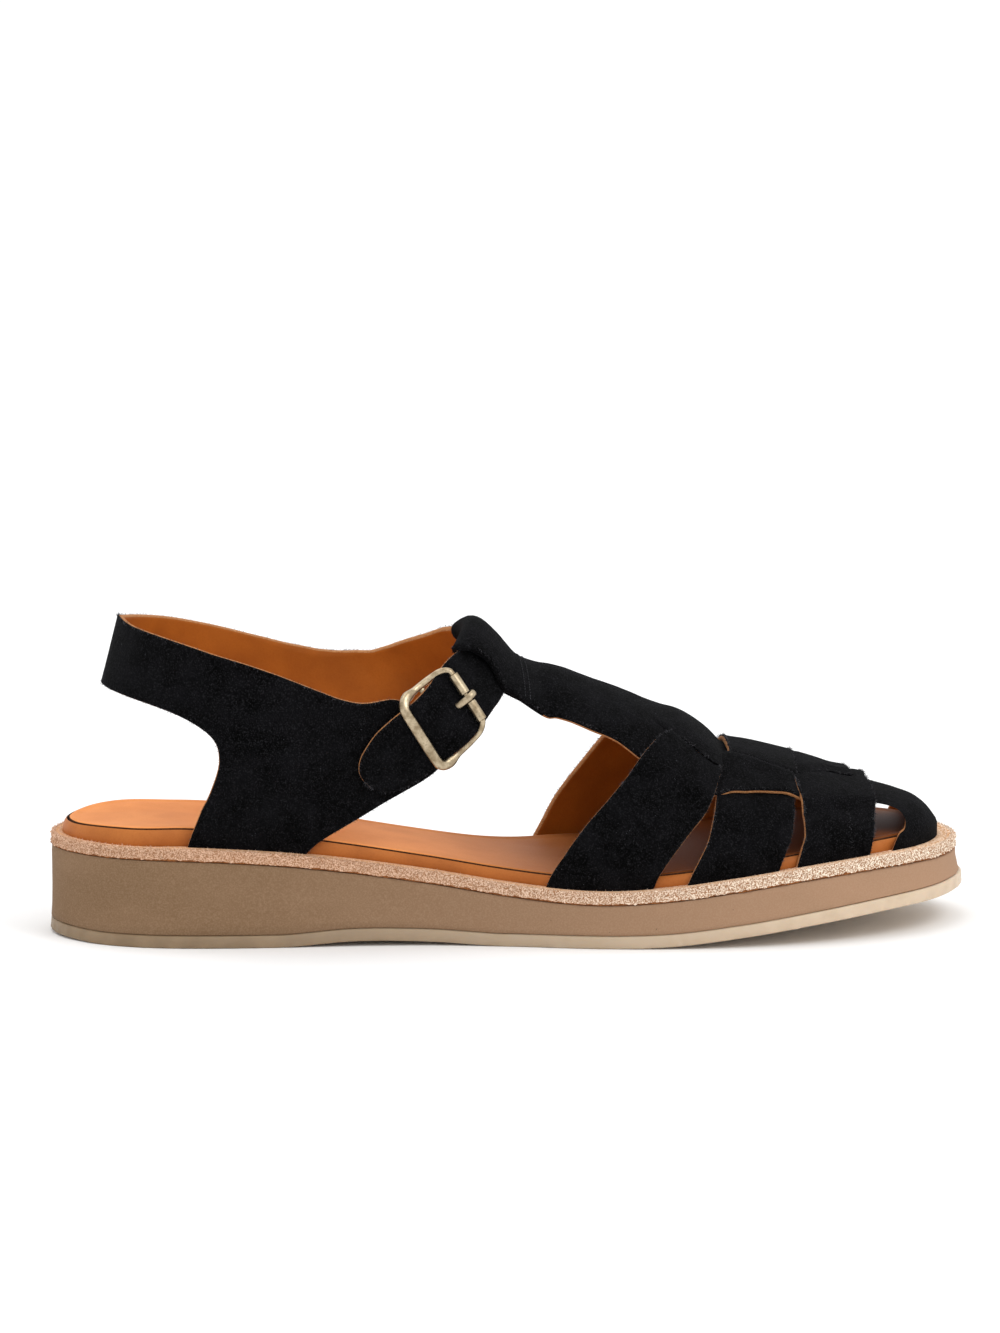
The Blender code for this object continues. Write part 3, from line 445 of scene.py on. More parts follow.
# Cross straps: angle round the arch, rear and front share of LENGTH
REAR_STRAP = (
    (-90, 0.528, 0.640),
    (-87, 0.537, 0.648),
    (-76, 0.569, 0.677),
    (-63, 0.601, 0.700),
    (-53, 0.622, 0.709),
    (-46, 0.634, 0.713),
    (-35, 0.651, 0.719),
    (-25, 0.667, 0.721),
    (-15, 0.673, 0.721),
    (0, 0.672, 0.718),
    (20, 0.660, 0.714),
    (42, 0.632, 0.706),
    (63, 0.597, 0.687),
    (79, 0.562, 0.660),
    (90, 0.528, 0.632),
)
MIDDLE_STRAP = (
    (-90, 0.678, 0.776),
    (-87, 0.687, 0.782),
    (-78, 0.704, 0.793),
    (-62, 0.713, 0.799),
    (-45, 0.719, 0.802),
    (-30, 0.728, 0.806),
    (-18, 0.736, 0.808),
    (0, 0.738, 0.810),
    (14, 0.739, 0.811),
    (33, 0.737, 0.812),
    (53, 0.726, 0.808),
    (70, 0.710, 0.799),
    (83, 0.692, 0.787),
    (90, 0.675, 0.777),
)
FRONT_STRAP = (
    (-90, 0.799, 0.880),
    (-86, 0.805, 0.884),
    (-77, 0.812, 0.888),
    (-66, 0.813, 0.889),
    (-53, 0.811, 0.890),
    (-39, 0.806, 0.892),
    (-26, 0.805, 0.892),
    (-14, 0.805, 0.892),
    (0, 0.806, 0.890),
    (20, 0.812, 0.891),
    (38, 0.818, 0.886),
    (53, 0.820, 0.880),
    (69, 0.819, 0.876),
    (83, 0.812, 0.876),
    (90, 0.803, 0.874),
)
# Centre strap: share of LENGTH, angles of the outer edge, the slit and the inner edge, then the lifts of
# its outer and inner halves over LIFT
CENTRE_STRAP = (
    (0.512, -37, -3, 33, 0, 0),
    (0.540, -36, -4, 35, 0, 0),
    (0.580, -37, -6, 37, 0, 0),
    (0.612, -39, -9, 38, 0, 0),
    (0.635, -44, -14, 39, 0, 0),
    (0.655, -47, -19, 39, 0, 0.1),
    (0.668, -48, -24, 39, 0, 0.4),
    (0.680, -49, -27, 39, 0, 0.85),
    (0.700, -50, -32, 38, 0, 1),
    (0.716, -50, -33, 37, 0.2, 0.8),
    (0.732, -47, -20, 36, 0.9, 0.2),
    (0.750, -46, -19.5, 35, 1, 0),
    (0.775, -45, -24, 35, 1, 0.2),
    (0.796, -45, -27, 34, 1, 0.5),
    (0.808, -46, -27, 33, 0.6, 0.7),
    (0.822, -45, -20, 32, 0.1, 1.0),
    (0.845, -42, -12, 31, 0, 1.05),
    (0.858, -40, -10, 30, 0, 1.35),
    (0.871, -38, -7, 30, 0, 1.9),
)
# Opening beside the toe piece: share of LENGTH and angle round the arch along the toe piece's edge
TOE_OPENING = (
    (0.890, -13),
    (0.911, -16),
    (0.923, -29),
    (0.928, -49),
    (0.927, -70),
    (0.919, -84),
    (0.908, -90),
)
TOE_PIECE_START = 0.862


# Meshes


def new_object(name, points, faces, looks, slots=()):
    """Object from plain world coordinates, with its materials and the slot of each face."""
    mesh = bpy.data.meshes.new(name)
    mesh.from_pydata(np.asarray(points).reshape(-1, 3).tolist(), [], faces)
    for look in looks:
        mesh.materials.append(look)
    if len(slots):
        mesh.polygons.foreach_set("material_index", np.asarray(slots, np.int32))
    piece = bpy.data.objects.new(name, mesh)
    bpy.context.scene.collection.objects.link(piece)
    return piece


def reshape_mesh(piece, change):
    shape = bmesh.new()
    shape.from_mesh(piece.data)
    change(shape)
    shape.to_mesh(piece.data)
    shape.free()


def drop_loose(piece):
    def change(shape):
        loose = [vert for vert in shape.verts if not vert.link_faces]
        bmesh.ops.delete(shape, geom=loose, context="VERTS")

    reshape_mesh(piece, change)


def fix_normals(piece):
    reshape_mesh(piece, lambda shape: bmesh.ops.recalc_face_normals(shape, faces=shape.faces))


def cut_with(piece, cutter, **settings):
    """Cut a piece with a closed cutter, which is removed."""
    bpy.ops.object.select_all(action="DESELECT")
    bpy.context.view_layer.objects.active = piece
    piece.select_set(True)
    step = piece.modifiers.new("cut", "BOOLEAN")
    settings.update(operation="DIFFERENCE", object=cutter, solver="EXACT")
    for key, value in settings.items():
        setattr(step, key, value)
    bpy.ops.object.modifier_apply(modifier=step.name)
    bpy.data.objects.remove(cutter)


def unit(vectors):
    return vectors / np.maximum(np.linalg.norm(vectors, axis=-1, keepdims=True), 1e-12)


def grid_normals(grid):
    """Normals of a grid of points, turned away from the middle of the foot."""
    normal = unit(np.cross(np.gradient(grid, axis=0), np.gradient(grid, axis=1)))
    return normal if np.sum(normal * grid * (0, 1, 1)) > 0 else -normal


def waves(points, size, seed, terms=7):
    """Soft seeded unevenness between about -1 and 1, with bumps of the given size."""
    pick = np.random.default_rng(seed)
    total = np.zeros(points.shape[:-1])
    for _ in range(terms):
        way = unit(pick.normal(size=3)) * 2 * pi / (size * pick.uniform(0.7, 1.6))
        total += np.sin(points @ way + pick.uniform(0, 2 * pi))
    return total / terms**0.5 / 1.2


EDGE_ROWS = 5  # rows of faces round a cut edge
EDGE_BULGE = 0.45 * MM  # how far the middle of a cut edge stands out
UNEVEN = 0.06 * MM  # depth of the suede's soft unevenness

# Places and directions of the fibres along the cut edges of the suede, and how many stand there
EDGE_FIBRES = []
EDGE_FIBRE_COUNT = 22000


def slab(name, inner, outer, keep, cut):
    """Closed leather strip between two skins with a rounded edge: suede, tan cut edge and lining.

    Of the rows of the edge, the first ones, up to cut, are suede.
    """
    rows, columns = inner.shape[:2]
    count = rows * columns
    index = np.arange(count).reshape(rows, columns)
    quads = np.stack([index[:-1, :-1], index[1:, :-1], index[1:, 1:], index[:-1, 1:]], -1)
    quads = quads[keep] if keep is not None else quads.reshape(-1, 4)
    inner = inner.reshape(-1, 3)
    outer = outer.reshape(-1, 3)
    a, b, c, d = outer[quads].transpose(1, 0, 2)
    facing = np.sum(np.cross(c - a, d - b) * (a - inner[quads[:, 0]]), axis=1)
    if facing.sum() < 0:
        quads = quads[:, ::-1]
    starts = quads.reshape(-1)
    ends = np.roll(quads, -1, axis=1).reshape(-1)
    alone = ~np.isin(starts * count + ends, ends * count + starts)
    starts, ends = starts[alone], ends[alone]
    normal = unit(outer - inner)
    side = np.zeros((count, 3))
    away = unit(np.cross(outer[ends] - outer[starts], normal[starts]))
    np.add.at(side, starts, away)
    np.add.at(side, ends, away)
    rim = np.unique(starts)
    place = np.zeros(count, int)
    place[rim] = np.arange(len(rim))
    side = unit(side[rim])
    EDGE_FIBRES.append((outer[rim], side, normal[rim]))
    steps = EDGE_ROWS
    points = [inner, outer]
    for step in range(1, steps):
        t = step / steps
        points.append(outer[rim] + (inner[rim] - outer[rim]) * t + side * EDGE_BULGE * sin(pi * t) ** 0.6)

    def layer(step, which):
        if step == 0:
            return count + which
        if step == steps:
            return which
        return 2 * count + (step - 1) * len(rim) + place[which]

    faces = [quads + count, quads[:, ::-1]]
    indices = [np.zeros(len(quads), int), np.full(len(quads), 2)]
    for step in range(steps):
        corners = [layer(step, ends), layer(step, starts), layer(step + 1, starts), layer(step + 1, ends)]
        faces.append(np.stack(corners, 1))
        indices.append(np.full(len(starts), 0 if step < cut else 1))
    points, faces, indices = (np.concatenate(parts) for parts in (points, faces, indices))
    piece = new_object(name, points, faces.tolist(), LEATHER, indices)
    drop_loose(piece)
    piece.data.shade_smooth()
    return piece


def strip(name, grid, seed, cut, keep=None, wall=WALL):
    """Leather strip whose inside follows the grid."""
    skin = waves(grid, 16 * MM, seed) * UNEVEN + waves(grid, 5 * MM, seed + 1) * UNEVEN * 0.35
    return slab(name, grid, grid + grid_normals(grid) * (wall + skin)[..., None], keep, cut)


def ring_loft(name, rings, looks, indices, closed=False):
    """Solid through rings of points. Each ring of faces has its own slot."""
    rings = np.asarray(rings)
    rows, count = rings.shape[:2]
    i = np.arange(count)
    j = (i + 1) % count
    faces = []
    slots = []
    for row in range(rows if closed else rows - 1):
        here, there = row * count, (row + 1) % rows * count
        faces += np.stack([here + i, here + j, there + j, there + i], 1).tolist()
        slots += [indices[row]] * count
    if not closed:
        for row, slot_index in ((0, indices[0]), (rows - 1, indices[-1])):
            base = row * count
            for k in range(count // 2):
                far = [base + (count - k - 1) % count, base + (count - k) % count]
                corners = [base + k, base + k + 1, *far]
                faces.append(list(dict.fromkeys(corners)))
                slots.append(slot_index)
    piece = new_object(name, rings, faces, looks, slots)
    fix_normals(piece)
    piece.data.shade_smooth()
    return piece


def fibres(name, roots, ways, thick, look):
    """Loose fibres that stand on an edge, each a slim closed cone of three sides."""
    across = unit(np.cross(ways, (0.31, 0.52, 0.80)))
    other = unit(np.cross(ways, across))
    base = roots - ways * 0.1
    corners = [base + thick * (across * cos(a) + other * sin(a)) for a in np.radians((0, 120, 240))]
    points = np.stack([*corners, roots + ways], 1)
    first = 4 * np.arange(len(roots))[:, None]
    faces = np.concatenate([first + np.array(f) for f in ((0, 2, 1), (0, 1, 3), (1, 2, 3), (2, 0, 3))])
    piece = new_object(name, points, faces.tolist(), [look])
    fix_normals(piece)
    return piece


def make_edge_fibres():
    dice = np.random.default_rng(17)
    root, side, normal = (np.concatenate(parts) for parts in zip(*EDGE_FIBRES))
    spot = dice.integers(0, len(root), EDGE_FIBRE_COUNT)
    roots = root[spot] + dice.normal(0, 0.25 * MM, (len(spot), 3)) - normal[spot] * 0.25 * MM
    ways = unit(side[spot] * 0.9 + normal[spot] * 0.5 + dice.normal(0, 0.5, roots.shape))
    ways = ways * (0.3 + 0.8 * dice.random((len(spot), 1)) ** 2) * MM
    finish_piece(fibres("suede_edge_fibres", roots, ways, 0.07 * MM, FUZZ), "upper")


def spline(points, at):
    """Cubic curve through the first axis of an array, read at row positions."""
    at = np.asarray(at, float)
    last = len(points) - 1
    i = np.clip(at.astype(int), 0, last - 1)
    t = (at - i)[(...,) + (None,) * (points.ndim - 1)]
    slope = np.gradient(points, axis=0)
    p, q, m, n = points[i], points[i + 1], slope[i], slope[i + 1]
    curve = (2 * t**3 - 3 * t**2 + 1) * p + (t**3 - 2 * t**2 + t) * m
    return curve + (3 * t**2 - 2 * t**3) * q + (t**3 - t**2) * n


def even_rows(coarse, step):
    """Rows of a coarse grid refined by curves until they lie about a step apart."""
    middle = coarse[:, coarse.shape[1] // 2]
    dense = spline(middle, np.linspace(0, len(coarse) - 1, 40 * len(coarse)))
    along = np.concatenate([[0], np.cumsum(np.linalg.norm(np.diff(dense, axis=0), axis=1))])
    count = int(along[-1] / step) + 1
    at = np.interp(np.linspace(0, along[-1], count), along, np.linspace(0, len(coarse) - 1, len(along)))
    return spline(coarse, at), at


# Materials


class Value:
    """A socket of a material, with arithmetic that adds the maths nodes."""

    def __init__(self, look, socket):
        self.look = look
        self.socket = socket

    def maths(self, operation, *values):
        return self.look.node("ShaderNodeMath", {"operation": operation}, dict(enumerate(values)))

    def __add__(self, other):
        return self.maths("ADD", self, other)

    def __sub__(self, other):
        return self.maths("SUBTRACT", self, other)

    def __rsub__(self, other):
        return self.maths("SUBTRACT", other, self)

    def __mul__(self, other):
        return self.maths("MULTIPLY", self, other)

    __radd__ = __add__
    __rmul__ = __mul__

    def step(self, low, high):
        """0 below low, 1 above high, soft between."""
        values = {0: self, 1: low, 2: high}
        return self.look.node("ShaderNodeMapRange", {"interpolation_type": "SMOOTHSTEP"}, values)


class Look:
    """A principled material. Constants go on the shader's own sockets."""

    def __init__(self, name, colour, roughness, **constants):
        self.material = bpy.data.materials.new(name)
        self.material.use_nodes = True
        self.tree = self.material.node_tree
        self.shader = self.tree.nodes["Principled BSDF"]
        self.shader.inputs["Base Color"].default_value = (*colour, 1)
        self.shader.inputs["Roughness"].default_value = roughness
        for key, value in constants.items():
            self.shader.inputs[key.replace("_", " ")].default_value = value
        self.place = self.node("ShaderNodeTexCoord", out=3)

    def node(self, kind, settings=(), values=(), out=0):
        made = self.tree.nodes.new(kind)
        for key, value in dict(settings).items():
            setattr(made, key, value)
        for key, value in dict(values).items():
            if isinstance(value, Value):
                self.tree.links.new(value.socket, made.inputs[key])
            else:
                made.inputs[key].default_value = value
        return Value(self, made.outputs[out])

    def stretched(self, x, y, z):
        return self.node("ShaderNodeVectorMath", {"operation": "MULTIPLY"}, {0: self.place, 1: (x, y, z)})

    def axis(self, which):
        return self.node("ShaderNodeSeparateXYZ", {}, {0: self.place}, which)

    def noise(self, size, detail=3, at=None):
        """Soft noise whose grains are about this size."""
        values = {"Vector": at or self.place, "Scale": 1 / size, "Detail": detail}
        return self.node("ShaderNodeTexNoise", {}, values)

    def cells(self, size):
        values = {"Vector": self.place, "Scale": 1 / size}
        return self.node("ShaderNodeTexVoronoi", {}, values)

    def mix(self, factor, first, second):
        colours = [c if isinstance(c, Value) else (*c, 1) for c in (first, second)]
        values = {0: factor, 6: colours[0], 7: colours[1]}
        return self.node("ShaderNodeMix", {"data_type": "RGBA"}, values, 2)

    def link(self, name, value):
        self.tree.links.new(value.socket, self.shader.inputs[name])

    def bump(self, height, depth, strength=1.0):
        values = {"Height": height, "Distance": depth, "Strength": strength}
        self.link("Normal", self.node("ShaderNodeBump", {}, values))


def suede():
    look = Look("suede", (0.003, 0.003, 0.0035), 1.0, Sheen_Weight=0.012, Sheen_Roughness=0.5)
    look.shader.inputs["Sheen Tint"].default_value = (0.9, 0.93, 1, 1)
    look.shader.inputs["Specular IOR Level"].default_value = 0.03
    nap = look.noise(9 * MM, 4)
    tuft = look.noise(1.3 * MM, 4)
    fibre = look.noise(0.38 * MM, 3)
    fleck = look.noise(0.42 * MM, 2).step(0.72, 0.78) * look.noise(6 * MM, 2).step(0.52, 0.64)
    base = look.mix(nap.step(0.35, 0.7), (0.0008, 0.0008, 0.0008), (0.0036, 0.0035, 0.0041))
    base = look.mix(tuft.step(0.45, 0.75) * 0.5, base, (0.0062, 0.0061, 0.0070))
    base = look.mix(fibre.step(0.5, 0.72) * 0.75, base, (0.020, 0.0195, 0.0215))
    look.link("Base Color", look.mix(fleck * 0.8, base, (0.14, 0.15, 0.17)))
    look.bump(fibre + tuft * 1.5, 0.22 * MM, 0.9)
    return look.material


def tan_leather(name, light, dark, roughness=0.5, grain=0.5 * MM, painted_shade=None):
    """Smooth leather with a fine grain. Where it is given, the painted shade colour takes over towards the
    front, under the straps.
    """
    look = Look(name, light, roughness)
    look.shader.inputs["Specular IOR Level"].default_value = 0.12
    cloud = look.noise(14 * MM, 4)
    fine = look.noise(grain, 3)
    colour = look.mix(cloud.step(0.3, 0.75) * 0.6, light, dark)
    colour = look.mix(fine.step(0.4, 0.8) * 0.25, colour, dark)
    # Painted shade: the colour darkens towards the front, where the straps shade the sock.
    if painted_shade:
        colour = look.mix(look.axis(0).step(-0.04, 0.045), colour, painted_shade)
    look.link("Base Color", colour)
    look.link("Roughness", roughness + fine * 0.15)
    look.bump(fine + look.cells(grain * 1.6) * 0.8, 0.05 * MM, 0.5)
    return look.material


def raw_edge(name, light, dark, size=0.35 * MM, depth=0.25 * MM, toe=None):
    """Cut or torn leather whose fibres show. A toe's colour, where given, takes over at the front as
    painted light.
    """
    look = Look(name, light, 0.95)
    look.shader.inputs["Specular IOR Level"].default_value = 0.15
    fibre = look.noise(size, 5)
    wide = look.noise(3 * MM, 3)
    # Painted light: the front is lit, so the toe's colour lightens it.
    if toe:
        light = look.mix(look.axis(0).step(-0.06, 0.11), light, toe)
    colour = look.mix(fibre.step(0.40, 0.62), dark, light)
    look.link("Base Color", look.mix(wide.step(0.45, 0.8) * 0.3, colour, dark))
    look.bump(fibre + look.noise(size * 2.5, 3), depth, 0.8)
    return look.material


def foam():
    look = Look("midsole_foam", (0.32, 0.215, 0.135), 0.85)
    look.shader.inputs["Specular IOR Level"].default_value = 0.25
    x = look.axis(0)
    # Painted light and shade: the foam is darker at the heel and lighter towards the toe, as the light
    # falls.
    ahead = x.step(-0.12, 0.13)
    base = look.mix(ahead, (0.180, 0.105, 0.053), (0.36, 0.212, 0.128))
    cloud = look.noise(30 * MM, 4, look.stretched(1, 1, 2.5))
    base = look.mix(cloud.step(0.35, 0.7) * 0.3, base, (0.27, 0.165, 0.095))
    grain = look.noise(0.45 * MM, 3)
    base = look.mix(grain.step(0.35, 0.75) * 0.2, base, (0.46, 0.32, 0.21))
    pits = look.noise(1.1 * MM, 1).step(0.80, 0.84)
    look.link("Base Color", look.mix(pits * 0.8, base, (0.05, 0.03, 0.02)))
    look.bump(grain - pits * 2, 0.06 * MM, 0.6)
    return look.material


def crepe():
    look = Look("outsole_crepe", (0.50, 0.36, 0.22), 0.5, Subsurface_Weight=0.25, Subsurface_Scale=0.004)
    look.shader.inputs["Subsurface Radius"].default_value = (1.0, 0.6, 0.3)
    # Painted light and shade: the crepe is darker at the heel and lighter towards the toe, as the light
    # falls.
    x = look.axis(0)
    base = look.mix(x.step(-0.12, 0.12), (0.21, 0.138, 0.074), (0.60, 0.47, 0.34))
    cloud = look.noise(7 * MM, 4)
    look.link("Base Color", look.mix(cloud.step(0.35, 0.75) * 0.3, base, (0.38, 0.27, 0.16)))
    look.bump(look.noise(1.2 * MM, 3), 0.12 * MM, 0.5)
    return look.material


def brass():
    look = Look("antique_brass", (0.42, 0.34, 0.23), 0.34, Metallic=1.0)
    wear = look.noise(2.5 * MM, 5)
    fine = look.noise(0.5 * MM, 4)
    base = look.mix(wear.step(0.35, 0.7), (0.50, 0.41, 0.28), (0.27, 0.205, 0.125))
    look.link("Base Color", look.mix(fine.step(0.5, 0.75) * 0.5, base, (0.13, 0.095, 0.055)))
    look.link("Roughness", 0.24 + wear * 0.24)
    look.bump(fine + wear, 0.04 * MM, 0.5)
    return look.material


SUEDE = suede()
LINING = tan_leather("tan_lining", (0.38, 0.105, 0.011), (0.23, 0.056, 0.006), 0.5)
CUT_EDGE = raw_edge("cut_edge", (0.50, 0.24, 0.10), (0.30, 0.12, 0.045), 0.3 * MM, 0.08 * MM)
# The sock's last colour is painted shade under the straps at the front.
SOCK = tan_leather(
    "sock_leather", (0.80, 0.300, 0.088), (0.64, 0.215, 0.056), 0.5, painted_shade=(0.175, 0.048, 0.009)
)
SIDE_LEATHER = tan_leather("footbed_leather", (0.46, 0.150, 0.034), (0.28, 0.080, 0.017), 0.42)
# Painted shade: the near-black seam stands for the shadow in the gap under the sock's lip.
SEAM = raw_edge("sunk_seam_painted_shadow", (0.09, 0.035, 0.014), (0.04, 0.016, 0.008), 0.6 * MM, 0.1 * MM)
# The last colour is painted light at the toe.
WELT_EDGE = raw_edge(
    "welt_raw_edge", (0.72, 0.47, 0.33), (0.36, 0.18, 0.09), 0.4 * MM, 0.4 * MM, (1.0, 0.88, 0.72)
)
# The last colour is painted light at the toe.
WELT_FIBRE = raw_edge(
    "welt_fibre", (0.84, 0.62, 0.47), (0.62, 0.40, 0.26), 0.6 * MM, 0.05 * MM, (0.98, 0.84, 0.70)
)
THREAD = raw_edge("grey_thread", (0.10, 0.10, 0.11), (0.03, 0.03, 0.034), 0.3 * MM, 0.05 * MM)
FUZZ = raw_edge("suede_fibre", (0.075, 0.073, 0.080), (0.012, 0.012, 0.014), 2.0 * MM, 0.02 * MM)
# Painted shade: a thin brown shadow line along the foot of the welt.
WELT_GROOVE_SHADOW = raw_edge("welt_groove_painted_shadow", (0.30, 0.11, 0.035), (0.16, 0.055, 0.018), 0.6 * MM, 0.1 * MM)
# The last colour is painted light at the toe.
WELT_TOP = raw_edge(
    "welt_top", (0.74, 0.46, 0.28), (0.55, 0.28, 0.13), 0.6 * MM, 0.2 * MM, (0.90, 0.68, 0.50)
)
FOAM = foam()
CREPE = crepe()
BRASS = brass()
LEATHER = (SUEDE, CUT_EDGE, LINING)


# Sole


def sole_ring(count, inset, height, flared=True, toward=0.0):
    """One ring round the sole at an inset, optionally drawn in towards the middle line."""
    shares = outline_shares(DENSE)
    extra = flare_inset(shares) if flared else 0
    ring = outline(count, np.broadcast_to(inset + extra, (DENSE,)))
    middle = np.stack([np.clip(ring[:, 0], x_at(0.14), x_at(0.86)), 0 * ring[:, 0]], 1)
    middle[:, 1] = 6 * MM * soft_step(share_at(middle[:, 0]), 0.5, 0.85)
    ring = ring + (middle - ring) * toward
    z = height(ring[:, 0], ring[:, 1])
    return np.column_stack([ring, z])


def ring_normal(count):
    """Direction out of the sole's edge at each ring point."""
    step = outline(count, 0) - outline(count, 1 * MM)
    return np.column_stack([unit(step), np.zeros(count)])


def roughen(rings, rows, count, depth, size, seed):
    """Shift the points of the given rings outwards from the edge and upwards by seeded noise."""
    out = ring_normal(count)
    for row in rows:
        rings[row] = rings[row] + out * (waves(rings[row], size, seed + row, 9) * depth)[:, None]
        rings[row][:, 2] += waves(rings[row], size, seed + 50 + row, 9) * depth
    return rings


def raised(height, rise):
    return lambda x, y: height(x, y) + rise


def rings_at(count, rows, edge=0.0, flared=True):
    """Rings from rows of an inset in millimetres, a height and, where given, how far it is drawn in."""
    return [sole_ring(count, edge + inset * MM, height, flared, *toward) for inset, height, *toward in rows]


def make_sole():
    n = 720

    def floor(x, y):
        return floor_side(x)

    def tread_top(x, y):
        return outsole_top(x)

    def wedge_top(x, y):
        return midsole_top(x)

    def between(f):
        return lambda x, y: seam(x, y) * (1 - f) + midsole_top(x) * f

    seam = raised(tread_top, 0.1 * MM)
    rows = (
        (1.6, floor, 0.7),
        (4, floor),
        (0.5, floor),
        (0.15, raised(floor, 0.2 * MM)),
        (0, raised(floor, 0.5 * MM)),
        (0.1, lambda x, y: (floor(x, y) + tread_top(x, y)) / 2),
        (0.15, raised(tread_top, -0.4 * MM)),
        (0.5, tread_top),
        (4, tread_top),
        (4, tread_top, 0.7),
    )
    rings = roughen(rings_at(n, rows, flared=False), (3, 4, 5), n, 0.12 * MM, 3 * MM, 11)
    outsole = ring_loft("crepe_outsole", rings, [CREPE], [0] * 9)
    flare = 0.6 * flare_inset(outline_shares(DENSE))
    wedge = rings_at(n, ((4, seam, 0.7), (4, seam)))
    wedge += rings_at(n, ((0.5, seam), (0.15, raised(seam, 0.3 * MM))), -flare)
    for f in (0.15, 0.3, 0.45, 0.6, 0.75, 0.9):
        bow = 0.25 * MM * (1 - (2 * f - 1) ** 2) + flare * (f - 1)
        wedge.append(sole_ring(n, 0.15 * MM + bow, between(f)))
    top = ((0.4, raised(wedge_top, -0.15 * MM)), (0.9, wedge_top), (12, wedge_top), (12, wedge_top, 0.7))
    wedge = roughen(wedge + rings_at(n, top), range(4, 10), n, 0.05 * MM, 9 * MM, 31)
    midsole = ring_loft("wedge_midsole", wedge, [FOAM], [0] * (len(wedge) - 1))
    for piece, node in ((outsole, "outsole"), (midsole, "midsole")):
        finish_piece(piece, node)


# Loose fibres on the welt: ring, how many, and how far they lean outwards and upwards
WELT_FRINGE = ((3, 700, 1.0, -0.6), (6, 1200, 0.9, 0.5), (8, 1800, 0.3, 1.0), (10, 900, -0.3, 1.0))


def make_welt():
    n = 1800

    def low(x, y):
        return midsole_top(x) + 0.05 * MM

    def level(f):
        return lambda x, y: low(x, y) * (1 - f) + welt_top(x) * f

    rows = (
        (0.7, low),
        (0.1, raised(low, 0.1 * MM)),
        (-0.1, level(0.12)),
        (0.25, level(0.3)),
        (0.35, level(0.5)),
        (0.15, level(0.7)),
        (0.1, level(0.86)),
        (0.35, level(0.97)),
        (0.8, level(1.0)),
        (1.5, level(0.99)),
        (2.6, level(0.96)),
        (4.2, level(0.94)),
    )
    inner = footbed_inset() - 0.2 * MM
    rings = rings_at(n, rows) + rings_at(n, ((-0.5, level(0.93)), (0, level(0.85)), (0, low)), inner)
    rings = roughen(rings, range(2, 10), n, 0.20 * MM, 1.0 * MM, 71)
    rings = roughen(rings, range(1, 9), n, 0.10 * MM, 4 * MM, 171)
    # Slot 2, on the two lowest rows, is the painted shadow line at the welt's foot.
    slots = [2] * 2 + [0] * 7 + [1] * 5 + [0]
    welt = ring_loft("welt_strip", rings, [WELT_EDGE, WELT_TOP, WELT_GROOVE_SHADOW], slots, closed=True)
    finish_piece(welt, "welt")
    dice = np.random.default_rng(11)
    out = ring_normal(n)
    edge = outline(n, 0)
    roots, ways = [], []
    for row, count, outward, upward in WELT_FRINGE:
        spot = dice.integers(0, n, count)
        slide = (edge[(spot + 1) % n] - edge[spot]) * dice.random(count)[:, None]
        roots.append(np.array(rings[row])[spot] + np.column_stack([slide, np.zeros(count)]))
        way = out[spot] * outward + np.array([0, 0, upward]) + dice.normal(0, 0.55, (count, 3))
        ways.append(unit(way) * (0.35 + 0.75 * dice.random(count) ** 2)[:, None] * MM)
    fringe = fibres("welt_fibres", np.concatenate(roots), np.concatenate(ways), 0.09 * MM, WELT_FIBRE)
    finish_piece(fringe, "welt")


def sock_rings(count, rows, edge):
    """Rings from rows of an inset and a rise over the top of the sock, both in millimetres."""
    rows = [(inset, raised(footbed_top, rise * MM), *toward) for inset, rise, *toward in rows]
    return rings_at(count, rows, edge)


def make_footbed():
    n = 720

    def level(f):
        return lambda x, y: (midsole_top(x) + 0.1 * MM) * (1 - f) + (footbed_top(x, y) - 0.5 * MM) * f

    rows = (
        (8, level(0), 0.5),
        (1.2, level(0)),
        (0.5, level(0.12)),
        (0.1, level(0.3)),
        (-0.1, level(0.5)),
        (0, level(0.7)),
        (0.3, level(0.86)),
        (0.8, level(0.97)),
    )
    edge = footbed_inset() + SEAM_INSET
    lip = ((-0.75, -0.45), (-0.45, -0.8), (-0.3, -1.3), (6, -1.2), (6, -1.2, 0.6))
    rings = rings_at(n, rows, footbed_inset()) + sock_rings(n, lip, edge)
    rings = roughen(rings, range(3, 8), n, 0.08 * MM, 12 * MM, 23)
    # Slot 1 carries the painted shadow of the sunk seam.
    side = ring_loft("footbed_side", rings, [SIDE_LEATHER, SEAM], [0] * 8 + [1] * 4)
    finish_piece(side, "footbed")
    rows = ((6, -1), (0.05, -1), (0, -0.45), (0.12, -0.1), (0.45, 0.18), (1.1, 0.2), (2, -0.12), (4, 0))
    rings = sock_rings(n, rows + tuple((4, 0, f) for f in np.linspace(0.05, 0.98, 22)), edge)
    # Slot 1 on the sock's second and third rows carries the painted shadow of the sunk seam.
    top_slots = [0, 1, 1] + [2] * (len(rings) - 4)
    sock = ring_loft("sock_cover", rings, [SIDE_LEATHER, SEAM, SOCK], top_slots)
    finish_piece(sock, "sock")


def finish_piece(piece, node):
    piece.data.set_sharp_from_angle(angle=radians(60))
    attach(piece, "root")
    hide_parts(node)


# Woven front


def steep(angle):
    """Angle stretched over the upright foot of a strap, so that an edge rises there without a kink."""
    angle = np.asarray(angle, float)
    return angle + np.sign(angle) * 1.4 * np.clip(np.abs(angle) - 84, 0, 6)


def strap_edges(rows, angles):
    spread = [(float(steep(row[0])), *row[1:]) for row in rows]
    return [curve_through(spread, k, steep(angles))[:, None] for k in (1, 2)]


def centre_edges(share):
    return [curve_through(CENTRE_STRAP, k, share) for k in (1, 2, 3)]


